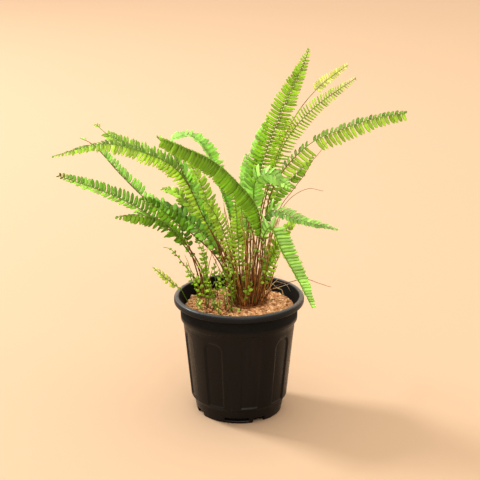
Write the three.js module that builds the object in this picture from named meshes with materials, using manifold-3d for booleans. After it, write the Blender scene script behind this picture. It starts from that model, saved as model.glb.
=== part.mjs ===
// Potted sword fern: a moulded nursery pot, the potting mix in it, two rhizome crowns, and the
// fronds, young shoots, runners and aerial roots that grow from them.
// Millimetres, +Z up. The origin is the middle of the pot's underside. The plant's open side, which
// it is mostly seen from, is -Y, with +X to the right.
import * as THREE from "three";
import { mergeVertices } from "three/addons/utils/BufferGeometryUtils.js";
import Module from "manifold-3d";

const wasm = await Module();
wasm.setup();

// ---------------------------------------------------------------- driving dimensions, mm

const SEAT = 0.3; // gap between two pieces that rest on each other

const POT = {
  height: 140,
  rimRadius: 75,
  baseRadius: 50,
  lipHeight: 7.5, // rolled lip round the mouth
  lipWidth: 6,
  bandRadius: 67.5, // plain band under the lip
  bandBottom: 112,
  shoulderRadius: 65, // wall just under the band
  footRadius: 56, // wall just above the base ring
  ringTop: 18.5, // base ring
  ringRadius: 53,
  wall: 1.8,
  floor: 2.5,
};

const FLUTE = {
  count: 9,
  firstDegrees: 12, // from -Y towards +X
  halfWidthDegrees: 9,
  edgeDegrees: 1.5,
  archHalfDegrees: 4.5,
  depth: 1.5,
  bottom: 20,
  top: 101.5,
};

// Notches cut up from the base ring's edge, and the narrow slots through the ring between them.
const DRAIN = { count: 4, firstDegrees: 27, width: 16, height: 6, reach: 8 };
const RING_SLOT = { count: 4, firstDegrees: -3, width: 28, bottom: 3.5, top: 7, reach: 6 };

const MIX_TOP = 126; // the potting mix's surface

// Rhizome crowns: low scaly mounds on the potting mix.
const CROWN_HEIGHT = 4;
const CROWNS = [
  { name: "crown_main", centre: [10, 12], radii: [24, 25] },
  { name: "crown_left_offset", centre: [-38, 29], radii: [11, 9] },
];
const CROWN_TOP = MIX_TOP + SEAT + CROWN_HEIGHT;

const STIPE = { foot: 0.9, tip: 0.5 }; // half width of a frond's stalk at its two ends
const SHOOT_STIPE = { foot: 0.6, tip: 0.4 };

// Each frond: where its stalk stands, [x, y]; the route of its midrib, [x, y, z]; the way its upper
// face looks; how far its two rows of leaflets rise (+) or hang (-) from flat, in degrees; its longest
// leaflet; the share of its length that is bare stalk; its number of leaflet pairs; its tone.
const FRONDS = [
  {
    name: "frond_left_long",
    foot: [-3, 10],
    route: [[-16, 4, 178], [-37, -2, 228], [-69, -8, 290], [-108, -14, 312], [-148, -20, 322], [-203, -32, 311]],
    face: [0, -0.7, 0.7],
    lift: 0,
    leaf: 11,
    bare: 0.34,
    pairs: 15,
    tone: "bright",
  },
  {
    name: "frond_left_rising",
    foot: [-9, 14],
    route: [[-23, 20, 173], [-57, 30, 206], [-101, 42, 235], [-136, 52, 267], [-171, 66, 302], [-186, 72, 308]],
    face: [0.5, -0.5, 0.7],
    lift: 35,
    leaf: 13,
    bare: 0.36,
    pairs: 13,
    tone: "blue",
  },
  {
    name: "frond_left_back",
    foot: [-3, 24],
    route: [[-15, 40, 175], [-40, 64, 229], [-82, 88, 272], [-131, 108, 290], [-156, 118, 300], [-174, 126, 313]],
    face: [0, -0.6, 0.8],
    lift: 10,
    leaf: 13,
    bare: 0.38,
    pairs: 13,
    tone: "mid",
  },
  {
    name: "frond_left_low",
    foot: [-38, 32],
    route: [[-49, 28, 166], [-73, 20, 204], [-108, 6, 238], [-141, -8, 261], [-175, -24, 279], [-197, -34, 290]],
    face: [0, -0.45, 0.9],
    lift: 40,
    leaf: 14,
    bare: 0.28,
    pairs: 15,
    tone: "blue",
  },
  {
    name: "frond_left_dark",
    foot: [-33, 30],
    route: [[-47, 18, 172], [-70, -5, 215], [-90, -26, 238], [-112, -44, 248], [-133, -58, 250]],
    face: [0, -0.5, 0.87],
    lift: -45,
    leaf: 15,
    bare: 0.42,
    pairs: 11,
    tone: "deep",
  },
  {
    name: "frond_left_deep",
    foot: [-42, 27],
    route: [[-52, 21, 171], [-62, 13, 206], [-77, 5, 231], [-94, -2, 246], [-111, -9, 257]],
    face: [0.1, -0.5, 0.87],
    lift: 25,
    leaf: 11,
    bare: 0.44,
    pairs: 9,
    tone: "mid",
  },
  {
    name: "frond_left_second",
    foot: [-6, 7],
    route: [[-20, 8, 180], [-39, 16, 206], [-57, 22, 221], [-77, 26, 233], [-93, 26, 243], [-107, 26, 249]],
    face: [0.2, -0.5, 0.87],
    lift: 0,
    leaf: 11,
    bare: 0.4,
    pairs: 9,
    tone: "blue",
  },
  {
    name: "frond_left_shaded",
    foot: [-5, 21],
    route: [[-20, 36, 172], [-42, 46, 201], [-66, 54, 221], [-90, 60, 229], [-108, 64, 226]],
    face: [0, -0.5, 0.87],
    lift: -15,
    leaf: 14,
    bare: 0.34,
    pairs: 10,
    tone: "deep",
  },
  {
    name: "frond_left_inner",
    foot: [-8, 20],
    route: [[-22, 31, 179], [-40, 39, 216], [-59, 44, 238], [-77, 48, 250], [-91, 50, 252]],
    face: [0.3, -0.6, 0.75],
    lift: 15,
    leaf: 13,
    bare: 0.4,
    pairs: 8,
    tone: "bright",
  },
  {
    name: "frond_kinked",
    foot: [0, 6],
    route: [[-13, -4, 183], [-37, -14, 231], [-57, -26, 282], [-72, -34, 314], [-88, -46, 336]],
    face: [0.5, -0.6, 0.6],
    lift: 20,
    leaf: 12,
    bare: 0.42,
    pairs: 11,
    tone: "blue",
  },
  {
    name: "frond_broad",
    foot: [14, -4],
    route: [[18, -14, 184], [24, -26, 223], [18, -38, 258], [-3, -52, 288], [-26, -66, 313], [-51, -80, 329], [-77, -96, 344]],
    face: [0.5, -0.35, 0.8],
    lift: -45,
    leaf: 22,
    bare: 0.36,
    pairs: 15,
    tone: "mid",
  },
  {
    name: "frond_top_arch",
    foot: [3, 18],
    route: [[-6, 24, 186], [-13, 34, 234], [-26, 44, 267], [-38, 56, 296], [-57, 68, 311], [-80, 78, 304]],
    face: [0.5, -0.5, 0.7],
    lift: 15,
    leaf: 12,
    bare: 0.4,
    pairs: 12,
    tone: "blue",
  },
  {
    name: "frond_mid_left",
    foot: [-2, 14],
    route: [[-20, 14, 183], [-35, 16, 243], [-47, 18, 274], [-58, 20, 294]],
    face: [0.4, -0.8, 0.4],
    lift: 10,
    leaf: 12,
    bare: 0.44,
    pairs: 9,
    tone: "bright",
  },
  {
    name: "frond_yellow_mid",
    foot: [1, 1],
    route: [[-8, -6, 181], [-19, -16, 225], [-32, -24, 252], [-41, -30, 264]],
    face: [0.4, -0.8, 0.4],
    lift: 10,
    leaf: 11,
    bare: 0.42,
    pairs: 8,
    tone: "bright",
  },
  {
    name: "frond_short_mid",
    foot: [7, -5],
    route: [[1, -10, 173], [-1, -16, 211], [-3, -22, 242], [-4, -26, 258]],
    face: [0.2, -0.9, 0.3],
    lift: 0,
    leaf: 9,
    bare: 0.36,
    pairs: 8,
    tone: "bright",
  },
  {
    name: "frond_tall",
    foot: [12, 16],
    route: [[13, 20, 173], [15, 24, 228], [22, 28, 272], [37, 34, 318], [54, 40, 360], [69, 46, 391], [79, 50, 415]],
    face: [0.1, -0.95, 0.3],
    lift: 0,
    leaf: 15,
    bare: 0.34,
    pairs: 17,
    tone: "bright",
  },
  {
    name: "frond_second_tall",
    foot: [18, 10],
    route: [[21, 8, 177], [26, 6, 234], [41, 2, 294], [56, -4, 329], [80, -12, 359], [102, -20, 378], [125, -28, 396]],
    face: [-0.3, -0.9, 0.4],
    lift: 10,
    leaf: 12,
    bare: 0.4,
    pairs: 15,
    tone: "bright",
  },
  {
    name: "frond_thin_tip",
    foot: [15, 28],
    route: [[19, 44, 173], [27, 62, 230], [45, 84, 285], [70, 102, 333], [98, 116, 363], [130, 130, 384]],
    face: [0, -0.9, 0.4],
    lift: 0,
    leaf: 9,
    bare: 0.4,
    pairs: 14,
    tone: "pale",
  },
  {
    name: "frond_right_long",
    foot: [24, 6],
    route: [[26, 0, 179], [35, -8, 261], [53, -14, 296], [82, -22, 326], [112, -30, 341], [148, -38, 355], [177, -44, 361]],
    face: [0, -0.6, 0.8],
    lift: 0,
    leaf: 13,
    bare: 0.4,
    pairs: 16,
    tone: "bright",
  },
  {
    name: "frond_right_spare",
    foot: [26, 14],
    route: [[29, 16, 174], [37, 24, 246], [57, 30, 267], [78, 36, 287], [85, 38, 296]],
    face: [-0.3, -0.7, 0.6],
    lift: 0,
    leaf: 8,
    bare: 0.5,
    pairs: 8,
    tone: "mid",
  },
  {
    name: "frond_right_low",
    foot: [21, 0],
    route: [[24, -8, 182], [28, -18, 232], [37, -24, 248], [53, -30, 244], [74, -36, 238], [109, -42, 231]],
    face: [0, -0.35, 0.93],
    lift: -10,
    leaf: 11,
    bare: 0.46,
    pairs: 11,
    tone: "blue",
  },
  {
    name: "frond_drooping",
    foot: [19, -7],
    route: [[23, -17, 174], [27, -30, 219], [35, -36, 232], [46, -38, 208], [67, -42, 170], [82, -44, 140]],
    face: [-0.6, -0.75, -0.1],
    lift: -35,
    leaf: 18,
    bare: 0.42,
    pairs: 11,
    tone: "blue",
  },
  {
    name: "frond_curved_small",
    foot: [28, 7],
    route: [[29, 6, 149], [33, 2, 174], [42, -2, 197], [49, -5, 210]],
    face: [0, -0.95, 0.3],
    lift: 0,
    leaf: 7,
    bare: 0.25,
    pairs: 9,
    tone: "bright",
  },
  {
    name: "frond_right_small",
    foot: [28, 19],
    route: [[33, 22, 162], [43, 28, 191], [57, 34, 210], [67, 36, 218]],
    face: [0, -0.8, 0.5],
    lift: 0,
    leaf: 8,
    bare: 0.4,
    pairs: 7,
    tone: "bright",
  },
  {
    name: "frond_back_upright",
    foot: [8, 28],
    route: [[9, 42, 181], [9, 58, 238], [9, 68, 266], [9, 74, 288]],
    face: [-0.2, -0.9, 0.3],
    lift: 0,
    leaf: 11,
    bare: 0.42,
    pairs: 8,
    tone: "blue",
  },
  {
    name: "frond_tall_twin",
    foot: [10, 23],
    route: [[10, 34, 183], [13, 48, 240], [17, 58, 280], [25, 66, 310], [34, 74, 333]],
    face: [-0.2, -0.9, 0.3],
    lift: 0,
    leaf: 13,
    bare: 0.42,
    pairs: 10,
    tone: "blue",
  },
  {
    name: "frond_pale_right",
    foot: [15, 3],
    route: [[16, -3, 192], [16, -12, 248], [19, -20, 281], [31, -26, 290], [57, -31, 276]],
    face: [0, -0.6, 0.8],
    lift: -10,
    leaf: 12,
    bare: 0.5,
    pairs: 8,
    tone: "blue",
  },
  {
    name: "frond_back",
    foot: [5, 32],
    route: [[4, 60, 166], [4, 94, 202], [8, 130, 218], [14, 166, 212]],
    face: [0, 0.2, 0.98],
    lift: -10,
    leaf: 14,
    bare: 0.34,
    pairs: 11,
    tone: "mid",
  },
];

// Young shoots on the left, each one thin stalk with a few small leaflets.
const SHOOTS = [
  {
    name: "shoot_over_rim",
    foot: [-61, 16],
    route: [[-63, 11, 133], [-68, 5, 145], [-77, 0, 153], [-85, -6, 163], [-98, -14, 178]],
    face: [0.3, -0.5, 0.8],
    lift: 5,
    leaf: 8,
    bare: 0.3,
    pairs: 6,
    tone: "pale",
  },
  {
    name: "shoot_thin",
    foot: [-47, 20],
    route: [[-51, 18, 150], [-65, 14, 173], [-79, 12, 191], [-87, 10, 194]],
    face: [0, -0.5, 0.85],
    lift: 0,
    leaf: 5,
    bare: 0.5,
    pairs: 4,
    tone: "mid",
  },
  {
    name: "shoot_upright",
    foot: [-38, 4],
    route: [[-38, 4, 150], [-39, 4, 174], [-41, 6, 198]],
    face: [0.3, -0.9, 0.3],
    lift: 10,
    leaf: 7,
    bare: 0.3,
    pairs: 6,
    tone: "bright",
  },
  {
    name: "shoot_short",
    foot: [-43, -3],
    route: [[-45, -5, 146], [-49, -8, 160], [-55, -11, 173]],
    face: [0, -0.9, 0.4],
    lift: 10,
    leaf: 7,
    bare: 0.25,
    pairs: 5,
    tone: "bright",
  },
  {
    name: "shoot_front",
    foot: [-15, -14],
    route: [[-17, -15, 142], [-20, -14, 158], [-23, -12, 175]],
    face: [0.3, -0.9, 0.3],
    lift: 10,
    leaf: 6,
    bare: 0.3,
    pairs: 5,
    tone: "bright",
  },
  {
    name: "shoot_back_left",
    foot: [-25, 28],
    route: [[-27, 28, 144], [-29, 29, 158], [-27, 30, 173]],
    face: [0.2, -0.9, 0.3],
    lift: 0,
    leaf: 6,
    bare: 0.3,
    pairs: 4,
    tone: "mid",
  },
  {
    name: "shoot_centre",
    foot: [-8, -17],
    route: [[-9, -17, 150], [-13, -17, 174], [-10, -17, 192]],
    face: [0.2, -0.9, 0.3],
    lift: 0,
    leaf: 6,
    bare: 0.35,
    pairs: 5,
    tone: "bright",
  },
  {
    name: "shoot_left_tuft",
    foot: [-46, 5],
    route: [[-49, 3, 142], [-54, 1, 156], [-58, -3, 168], [-60, -6, 181]],
    face: [0.1, -0.9, 0.4],
    lift: 0,
    leaf: 6,
    bare: 0.35,
    pairs: 5,
    tone: "bright",
  },
  {
    name: "shoot_creeping",
    foot: [-14, -20],
    route: [[-9, -23, 131], [-2, -27, 131], [4, -30, 130]],
    face: [0, -0.3, 0.95],
    lift: 20,
    leaf: 5,
    bare: 0.2,
    pairs: 4,
    tone: "bright",
  },
  {
    name: "shoot_mid",
    foot: [2, -17],
    route: [[4, -18, 136], [9, -20, 149], [15, -22, 163]],
    face: [0.3, -0.9, 0.3],
    lift: 0,
    leaf: 7,
    bare: 0.5,
    pairs: 3,
    tone: "bright",
  },
  {
    name: "shoot_tall",
    foot: [-36, 13],
    route: [[-37, 13, 150], [-40, 14, 176], [-44, 14, 191], [-52, 14, 208]],
    face: [0.2, -0.9, 0.3],
    lift: 10,
    leaf: 8,
    bare: 0.3,
    pairs: 8,
    tone: "bright",
  },
];

// Runners, stalks of fallen fronds, and aerial roots: bare threads, each from where it grows.
const RUNNER_RADIUS = 0.6;
const OLD_STALK_RADIUS = 0.8;
const ROOT_RADIUS = 0.7;
const RUNNERS = [
  { name: "runner_right_long", route: [[24, 22, 131], [32, 21, 190], [42, 20, 230], [67, 22, 266], [87, 26, 296], [109, 34, 324]] },
  { name: "runner_right_fork", route: [[27, 25, 131], [33, 26, 190], [44, 27, 226], [62, 29, 249], [80, 33, 257], [97, 36, 254]] },
  { name: "runner_right_low", route: [[30, 12, 131], [40, 2, 148], [55, -8, 157], [76, -20, 165], [103, -36, 162]] },
];
const OLD_STALKS = [
  { name: "old_stalk_front", route: [[8, -10, 131], [7, -13, 150], [9, -18, 184], [6, -23, 217], [1, -27, 242]] },
  { name: "old_stalk_right", route: [[29, 10, 131], [30, 9, 150], [33, 8, 179], [37, 7, 205], [45, 6, 227]] },
  { name: "old_stalk_left", route: [[-5, 3, 131], [-9, -1, 150], [-15, -4, 172], [-20, -5, 190]] },
];
const ROOTS = [
  { name: "root_arch_inner", route: [[41, 36, 127], [37, 33, 137], [40, 32, 142], [46, 31, 148]] },
  { name: "root_arch_outer", route: [[52, 30, 127], [50, 28, 135], [45, 26, 138], [38, 24, 146]] },
  { name: "root_across", route: [[31, 22, 131], [38, 28, 136], [47, 32, 137], [58, 36, 139]] },
  { name: "root_left", route: [[-14, 14, 131], [-22, 10, 138], [-30, 6, 136], [-33, -2, 127]] },
];

const TONES = { deep: 0x3f7f1f, mid: 0x5da12a, bright: 0x7cc23a, pale: 0xb2cc55, blue: 0x6fae62 };
const POT_COLOUR = 0x1d1a19;
const MIX_COLOUR = 0x7d5737;
const CROWN_COLOUR = 0x5a4026;
const RUNNER_COLOUR = 0x7a5634;
const ROOT_COLOUR = 0xc9ae84;

// ---------------------------------------------------------------- helpers

const radians = THREE.MathUtils.degToRad;

function material(color, roughness) {
  return new THREE.MeshStandardMaterial({ color, roughness, metalness: 0 });
}

function namedMesh(name, geometry, meshMaterial) {
  const mesh = new THREE.Mesh(geometry, meshMaterial);
  mesh.name = name;
  return mesh;
}

// A closed geometry as a solid that can be joined and cut.
function solid(geometry) {
  const bare = geometry.clone();
  bare.deleteAttribute("normal");
  bare.deleteAttribute("uv");
  const merged = mergeVertices(bare, 1e-4);
  return new wasm.Manifold(
    new wasm.Mesh({
      numProp: 3,
      vertProperties: new Float32Array(merged.attributes.position.array),
      triVerts: new Uint32Array(merged.index.array),
    }),
  );
}

function geometryOf(made) {
  const { vertProperties, triVerts } = made.getMesh();
  const geometry = new THREE.BufferGeometry();
  geometry.setAttribute("position", new THREE.BufferAttribute(vertProperties, 3));
  geometry.setIndex(new THREE.BufferAttribute(triVerts, 1));
  return flatShaded(geometry);
}

function flatShaded(geometry) {
  const faceted = geometry.toNonIndexed();
  faceted.computeVertexNormals();
  return faceted;
}

function geometryFrom(points, triangles) {
  const geometry = new THREE.BufferGeometry();
  geometry.setAttribute("position", new THREE.Float32BufferAttribute(points.flatMap((p) => [p.x, p.y, p.z]), 3));
  geometry.setIndex(triangles.flat());
  return flatShaded(geometry);
}

// A profile of [radius, height] pairs turned about Z.
function turned(profile, sides) {
  const outline = profile.map(([radius, height]) => new THREE.Vector2(radius, height));
  return new THREE.LatheGeometry(outline, sides).rotateX(Math.PI / 2);
}

// The point at a radius, an angle from -Y towards +X, and a height.
function polar(radius, angle, height) {
  return new THREE.Vector3(radius * Math.sin(angle), -radius * Math.cos(angle), height);
}

// ---------------------------------------------------------------- pot

// The wall's taper between the base ring and the band.
function wallRadius(height) {
  const share = (height - POT.ringTop) / (POT.bandBottom - POT.ringTop);
  return THREE.MathUtils.lerp(POT.footRadius, POT.shoulderRadius, share);
}

// The inside of the wall is smooth: it clears the flutes by the wall's thickness.
function innerRadius(height) {
  if (height >= POT.bandBottom) return POT.bandRadius - POT.wall - FLUTE.depth;
  if (height >= POT.ringTop) return wallRadius(height) - POT.wall - FLUTE.depth;
  return THREE.MathUtils.lerp(POT.baseRadius, POT.ringRadius, height / POT.ringTop) - POT.wall;
}

// The outside, from the foot up: [radius, height, half angle of the flute at that height].
function outerRows() {
  const { baseRadius, ringRadius, ringTop, footRadius, bandBottom, bandRadius, shoulderRadius } = POT;
  const full = FLUTE.halfWidthDegrees;
  const flat = -1;
  const shoulder = FLUTE.top - 2;
  return [
    [baseRadius - 1, 0, flat],
    [baseRadius, 1, flat],
    [ringRadius, ringTop - 1, flat],
    [footRadius, ringTop, flat],
    [wallRadius(FLUTE.bottom), FLUTE.bottom, flat],
    [wallRadius(FLUTE.bottom + 1.5), FLUTE.bottom + 1.5, full],
    [wallRadius(shoulder - 4), shoulder - 4, full],
    [wallRadius(shoulder), shoulder, FLUTE.archHalfDegrees],
    [wallRadius(FLUTE.top), FLUTE.top, flat],
    [shoulderRadius, bandBottom, flat],
    [bandRadius, bandBottom + 1, flat],
    [bandRadius + 0.4, POT.height - POT.lipHeight, flat],
  ];
}

// The rolled lip and the inside, from the lip's underside over the mouth and down to the floor.
function lipAndInsideRows() {
  const { rimRadius, height, lipHeight, lipWidth } = POT;
  const inner = rimRadius - lipWidth;
  const rows = [
    [rimRadius - 1, height - lipHeight],
    [rimRadius, height - lipHeight + 1.2],
    [rimRadius, height - 3],
    [rimRadius - 1, height - 0.9],
    [rimRadius - 2.8, height],
    [inner + 1, height - 0.5],
    [inner, height - 2],
    [innerRadius(height - 12), height - 12],
    [innerRadius(POT.bandBottom), POT.bandBottom],
    [wallRadius(POT.bandBottom - 1) - POT.wall - FLUTE.depth, POT.bandBottom - 1],
    [innerRadius(POT.ringTop + 1), POT.ringTop + 1],
    [innerRadius(POT.ringTop - 2), POT.ringTop - 2],
    [innerRadius(POT.floor), POT.floor],
  ];
  return rows.map(([radius, level]) => [radius, level, -1]);
}

// The pot before its drain slots are cut: rings of points round Z, closed at the axis below and above.
function potShell() {
  const { halfWidthDegrees, edgeDegrees, archHalfDegrees, count, firstDegrees, depth } = FLUTE;
  const outer = halfWidthDegrees + edgeDegrees;
  const between = 180 / count;
  const columns = [-outer, -halfWidthDegrees, -archHalfDegrees, archHalfDegrees, halfWidthDegrees, outer, between];
  const rows = [...outerRows(), ...lipAndInsideRows()];
  const around = columns.length * count;
  const points = [new THREE.Vector3(0, 0, 0)];
  for (const [radius, height, flute] of rows) {
    for (let i = 0; i < around; i++) {
      const local = columns[i % columns.length];
      const turn = firstDegrees + (360 / count) * Math.floor(i / columns.length) + local;
      const sunk = Math.abs(local) <= flute ? depth : 0;
      points.push(polar(radius - sunk, radians(turn), height));
    }
  }
  points.push(new THREE.Vector3(0, 0, POT.floor));
  return geometryFrom(points, ringTriangles(rows.length, around));
}

// Triangles over stacked rings, with a single point before the first ring and after the last.
function ringTriangles(ringCount, around) {
  const triangles = [];
  const last = 1 + ringCount * around;
  for (let i = 0; i < around; i++) {
    const next = (i + 1) % around;
    triangles.push([0, 1 + next, 1 + i]);
    triangles.push([last, last - around + i, last - around + next]);
    for (let ring = 0; ring < ringCount - 1; ring++) {
      const low = 1 + ring * around;
      const high = low + around;
      triangles.push([low + i, low + next, high + next], [low + i, high + next, high + i]);
    }
  }
  return triangles;
}

// One of a ring of box cutters across the wall at the pot's base, from one level up to another.
function wallCutter({ count, firstDegrees, width, reach }, index, bottom, top) {
  const angle = radians(firstDegrees + (360 / count) * index);
  const box = new THREE.BoxGeometry(width, 2 * reach, top - bottom);
  const middle = polar(POT.baseRadius, angle, 0);
  return solid(box.rotateZ(angle).translate(middle.x, middle.y, (bottom + top) / 2));
}

function makePot() {
  let body = solid(potShell());
  for (let i = 0; i < DRAIN.count; i++) {
    body = body.subtract(wallCutter(DRAIN, i, -DRAIN.height, DRAIN.height));
  }
  for (let i = 0; i < RING_SLOT.count; i++) {
    body = body.subtract(wallCutter(RING_SLOT, i, RING_SLOT.bottom, RING_SLOT.top));
  }
  return namedMesh("pot", geometryOf(body), material(POT_COLOUR, 0.45));
}

// ---------------------------------------------------------------- potting mix and crowns

function makePottingMix() {
  const step = POT.bandBottom - 1;
  const clear = (height) => innerRadius(height) - 2 * SEAT;
  const profile = [
    [0, POT.floor + SEAT],
    [clear(POT.floor) - SEAT, POT.floor + SEAT],
    [clear(POT.ringTop - 2), POT.ringTop - 2],
    [clear(POT.ringTop + 1) - SEAT, POT.ringTop + 1],
    [clear(step), step],
    [clear(POT.bandBottom), POT.bandBottom + SEAT],
    [clear(POT.bandBottom), MIX_TOP - 1],
    [clear(POT.bandBottom) - 2, MIX_TOP],
    [0, MIX_TOP],
  ];
  return namedMesh("potting_mix", flatShaded(turned(profile, 36)), material(MIX_COLOUR, 1));
}

function makeCrown({ name, centre, radii }) {
  const profile = [[0, 0], [1, 0], [1, 0.45], [0.93, 1], [0, 1]];
  const geometry = turned(profile, 24).scale(radii[0], radii[1], CROWN_HEIGHT);
  const mesh = namedMesh(name, flatShaded(geometry), material(CROWN_COLOUR, 1));
  mesh.position.set(centre[0], centre[1], MIX_TOP + SEAT);
  return mesh;
}

function standsOnCrown([x, y]) {
  return CROWNS.some(({ centre, radii }) => Math.hypot((x - centre[0]) / radii[0], (y - centre[1]) / radii[1]) < 0.93);
}

// ---------------------------------------------------------------- fronds and shoots

const LEAF_FILL = 0.78; // share of the pitch that a leaflet's base takes
const LEAF_TIP_HALF = 0.32; // half width at the leaflet's tip, against its base
const LEAF_LEAN = 0.28; // how far a leaflet points towards the frond's tip
const STALK_STEPS = 5;

// The outline of a frond: short leaflets at its foot, long in the middle, none at the tip.
function leafShare(along) {
  const opening = Math.min(1, 0.55 + 1.5 * along);
  const closing = along < 0.5 ? 1 : 1 - 0.85 * ((along - 0.5) / 0.5) ** 1.7;
  return opening * closing;
}

// Places along the midrib, each with its axes: t along it, s across the blade, n out of its face.
function stations(plant, half) {
  const foot = new THREE.Vector3(...plant.foot, (standsOnCrown(plant.foot) ? CROWN_TOP : MIX_TOP) + SEAT);
  const curve = new THREE.CatmullRomCurve3([foot, ...plant.route.map((p) => new THREE.Vector3(...p))]);
  const face = new THREE.Vector3(...plant.face).normalize();
  const pitch = (1 - plant.bare) / plant.pairs;
  const shares = Array.from({ length: STALK_STEPS }, (_, i) => (plant.bare * i) / STALK_STEPS);
  for (let i = 0; i < plant.pairs; i++) {
    const start = plant.bare + pitch * i;
    shares.push(start, start + pitch * LEAF_FILL);
  }
  shares.push(1);
  return shares.map((share) => {
    const t = share === 0 ? new THREE.Vector3(0, 0, 1) : curve.getTangentAt(share); // the foot is cut level
    const s = new THREE.Vector3().crossVectors(t, face).normalize();
    const n = new THREE.Vector3().crossVectors(s, t);
    return { at: curve.getPointAt(share), t, s, n, half: THREE.MathUtils.lerp(half.foot, half.tip, share) };
  });
}

// The two end points of one leaflet on the side +1 or -1 of the midrib between two stations.
function leafTip(low, high, side, length, lift) {
  const out = low.s.clone().multiplyScalar(side * Math.cos(lift));
  out.addScaledVector(low.n, Math.sin(lift)).addScaledVector(low.t, LEAF_LEAN).normalize();
  const span = high.at.clone().sub(low.at);
  const middle = low.at.clone().addScaledVector(span, 0.5).addScaledVector(out, length);
  return [-LEAF_TIP_HALF, LEAF_TIP_HALF].map((share) => middle.clone().addScaledVector(span, share));
}

// A stalk of square section whose two sides open out into flat, tapering leaflets.
function plantGeometry(plant, half) {
  const places = stations(plant, half);
  const points = [];
  const triangles = [];
  for (const { at, s, n, half: h } of places) {
    for (const [a, b] of [[1, 1], [1, -1], [-1, -1], [-1, 1]]) {
      points.push(at.clone().addScaledVector(s, a * h).addScaledVector(n, b * h));
    }
  }
  for (let k = 0; k < places.length - 1; k++) {
    const leafIndex = (k - STALK_STEPS) / 2;
    const hasLeaf = leafIndex >= 0 && Number.isInteger(leafIndex) && leafIndex < plant.pairs;
    for (let q = 0; q < 4; q++) {
      const [a1, a2] = [4 * k + q, 4 * k + ((q + 1) % 4)];
      const [b1, b2] = [a1 + 4, a2 + 4];
      if (!hasLeaf || q % 2 === 1) {
        triangles.push([a1, a2, b2], [a1, b2, b1]);
        continue;
      }
      const side = q === 0 ? 1 : -1;
      const length = plant.leaf * leafShare(leafIndex / plant.pairs);
      const [low, high] = leafTip(places[k], places[k + 1], side, length, radians(plant.lift));
      const [tipA, tipB] = [points.push(low) - 1, points.push(high) - 1];
      triangles.push([a1, a2, tipA], [b2, b1, tipB]);
      triangles.push([a2, b2, tipB], [a2, tipB, tipA], [b1, a1, tipA], [b1, tipA, tipB]);
    }
  }
  const end = 4 * (places.length - 1);
  triangles.push([0, 2, 1], [0, 3, 2], [end, end + 1, end + 2], [end, end + 2, end + 3]);
  return geometryFrom(points, triangles);
}

function makePlant(plant, half) {
  return namedMesh(plant.name, plantGeometry(plant, half), material(TONES[plant.tone], 0.6));
}

// ---------------------------------------------------------------- runners and roots

// A round thread along a route.
function makeThread({ name, route }, radius, colour) {
  const quarters = 3; // gives the section six sides
  const section = new THREE.Shape();
  section.absarc(0, 0, radius, 0, 2 * Math.PI);
  const curve = new THREE.CatmullRomCurve3(route.map((p) => new THREE.Vector3(...p)));
  const steps = Math.ceil(curve.getLength() / 12);
  const geometry = new THREE.ExtrudeGeometry(section, { steps, extrudePath: curve, curveSegments: quarters });
  return namedMesh(name, geometry, material(colour, 0.9));
}

// ---------------------------------------------------------------- the potted fern

const fern = new THREE.Group();
fern.name = "potted_fern";
fern.add(makePot(), makePottingMix());
for (const crown of CROWNS) fern.add(makeCrown(crown));
for (const frond of FRONDS) fern.add(makePlant(frond, STIPE));
for (const shoot of SHOOTS) fern.add(makePlant(shoot, SHOOT_STIPE));
for (const runner of RUNNERS) fern.add(makeThread(runner, RUNNER_RADIUS, RUNNER_COLOUR));
for (const stalk of OLD_STALKS) fern.add(makeThread(stalk, OLD_STALK_RADIUS, RUNNER_COLOUR));
for (const root of ROOTS) fern.add(makeThread(root, ROOT_RADIUS, ROOT_COLOUR));

export default fern;
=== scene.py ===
"""Potted sword fern: the plant, its pot and the mix, as surfaces worked out on numpy grids.

Metres, +Z up. The origin is the middle of the pot's underside, and the plant's open side is -Y. The
tables of fronds, shoots and threads are in millimetres.
"""

import logging
import math
from dataclasses import dataclass, field
from enum import Enum
from functools import cached_property
from typing import Any, Sequence

import bpy
import numpy as np
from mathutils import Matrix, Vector


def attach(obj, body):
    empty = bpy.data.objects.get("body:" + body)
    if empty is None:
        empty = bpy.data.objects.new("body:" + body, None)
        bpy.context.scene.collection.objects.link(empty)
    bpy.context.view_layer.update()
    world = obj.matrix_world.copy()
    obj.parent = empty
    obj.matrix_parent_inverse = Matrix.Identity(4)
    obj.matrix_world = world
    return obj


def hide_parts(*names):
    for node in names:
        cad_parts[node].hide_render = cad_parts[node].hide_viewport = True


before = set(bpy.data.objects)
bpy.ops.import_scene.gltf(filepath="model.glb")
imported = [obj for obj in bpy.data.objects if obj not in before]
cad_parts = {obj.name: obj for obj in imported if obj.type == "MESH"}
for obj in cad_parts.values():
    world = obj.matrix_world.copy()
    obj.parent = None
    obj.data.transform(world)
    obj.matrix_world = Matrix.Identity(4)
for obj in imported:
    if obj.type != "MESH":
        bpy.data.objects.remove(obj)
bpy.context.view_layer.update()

LOG = logging.getLogger("fern")
BODY = "root"
Pair = tuple[float, float]
Vec = tuple[float, float, float]
Colour = tuple[float, float, float, float]
Array = np.ndarray
Marks = dict[str, Array]
Socket = bpy.types.NodeSocket
Material = bpy.types.Material
Draws = np.random.Generator

FULL_TURN = 2 * math.pi
UP = np.array([0, 0, 1.0])


def linear(code: str) -> Colour:
    """Turns a display colour into the linear colour that a shader takes.

    Args:
        code: six hexadecimal digits.

    Returns:
        Red, green, blue and an alpha of 1, linear.
    """
    shares = np.array([int(code[i:i + 2], 16) for i in (0, 2, 4)]) / 255
    bright = ((shares + 0.055) / 1.055) ** 2.4
    low = shares / 12.92
    red, green, blue = np.where(shares > 0.04045, bright, low)
    return float(red), float(green), float(blue), 1.0


def metres(sizes: Any) -> Any:
    """A length, or an array of them, turned from millimetres into metres."""
    return np.divide(sizes, 1000)


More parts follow.
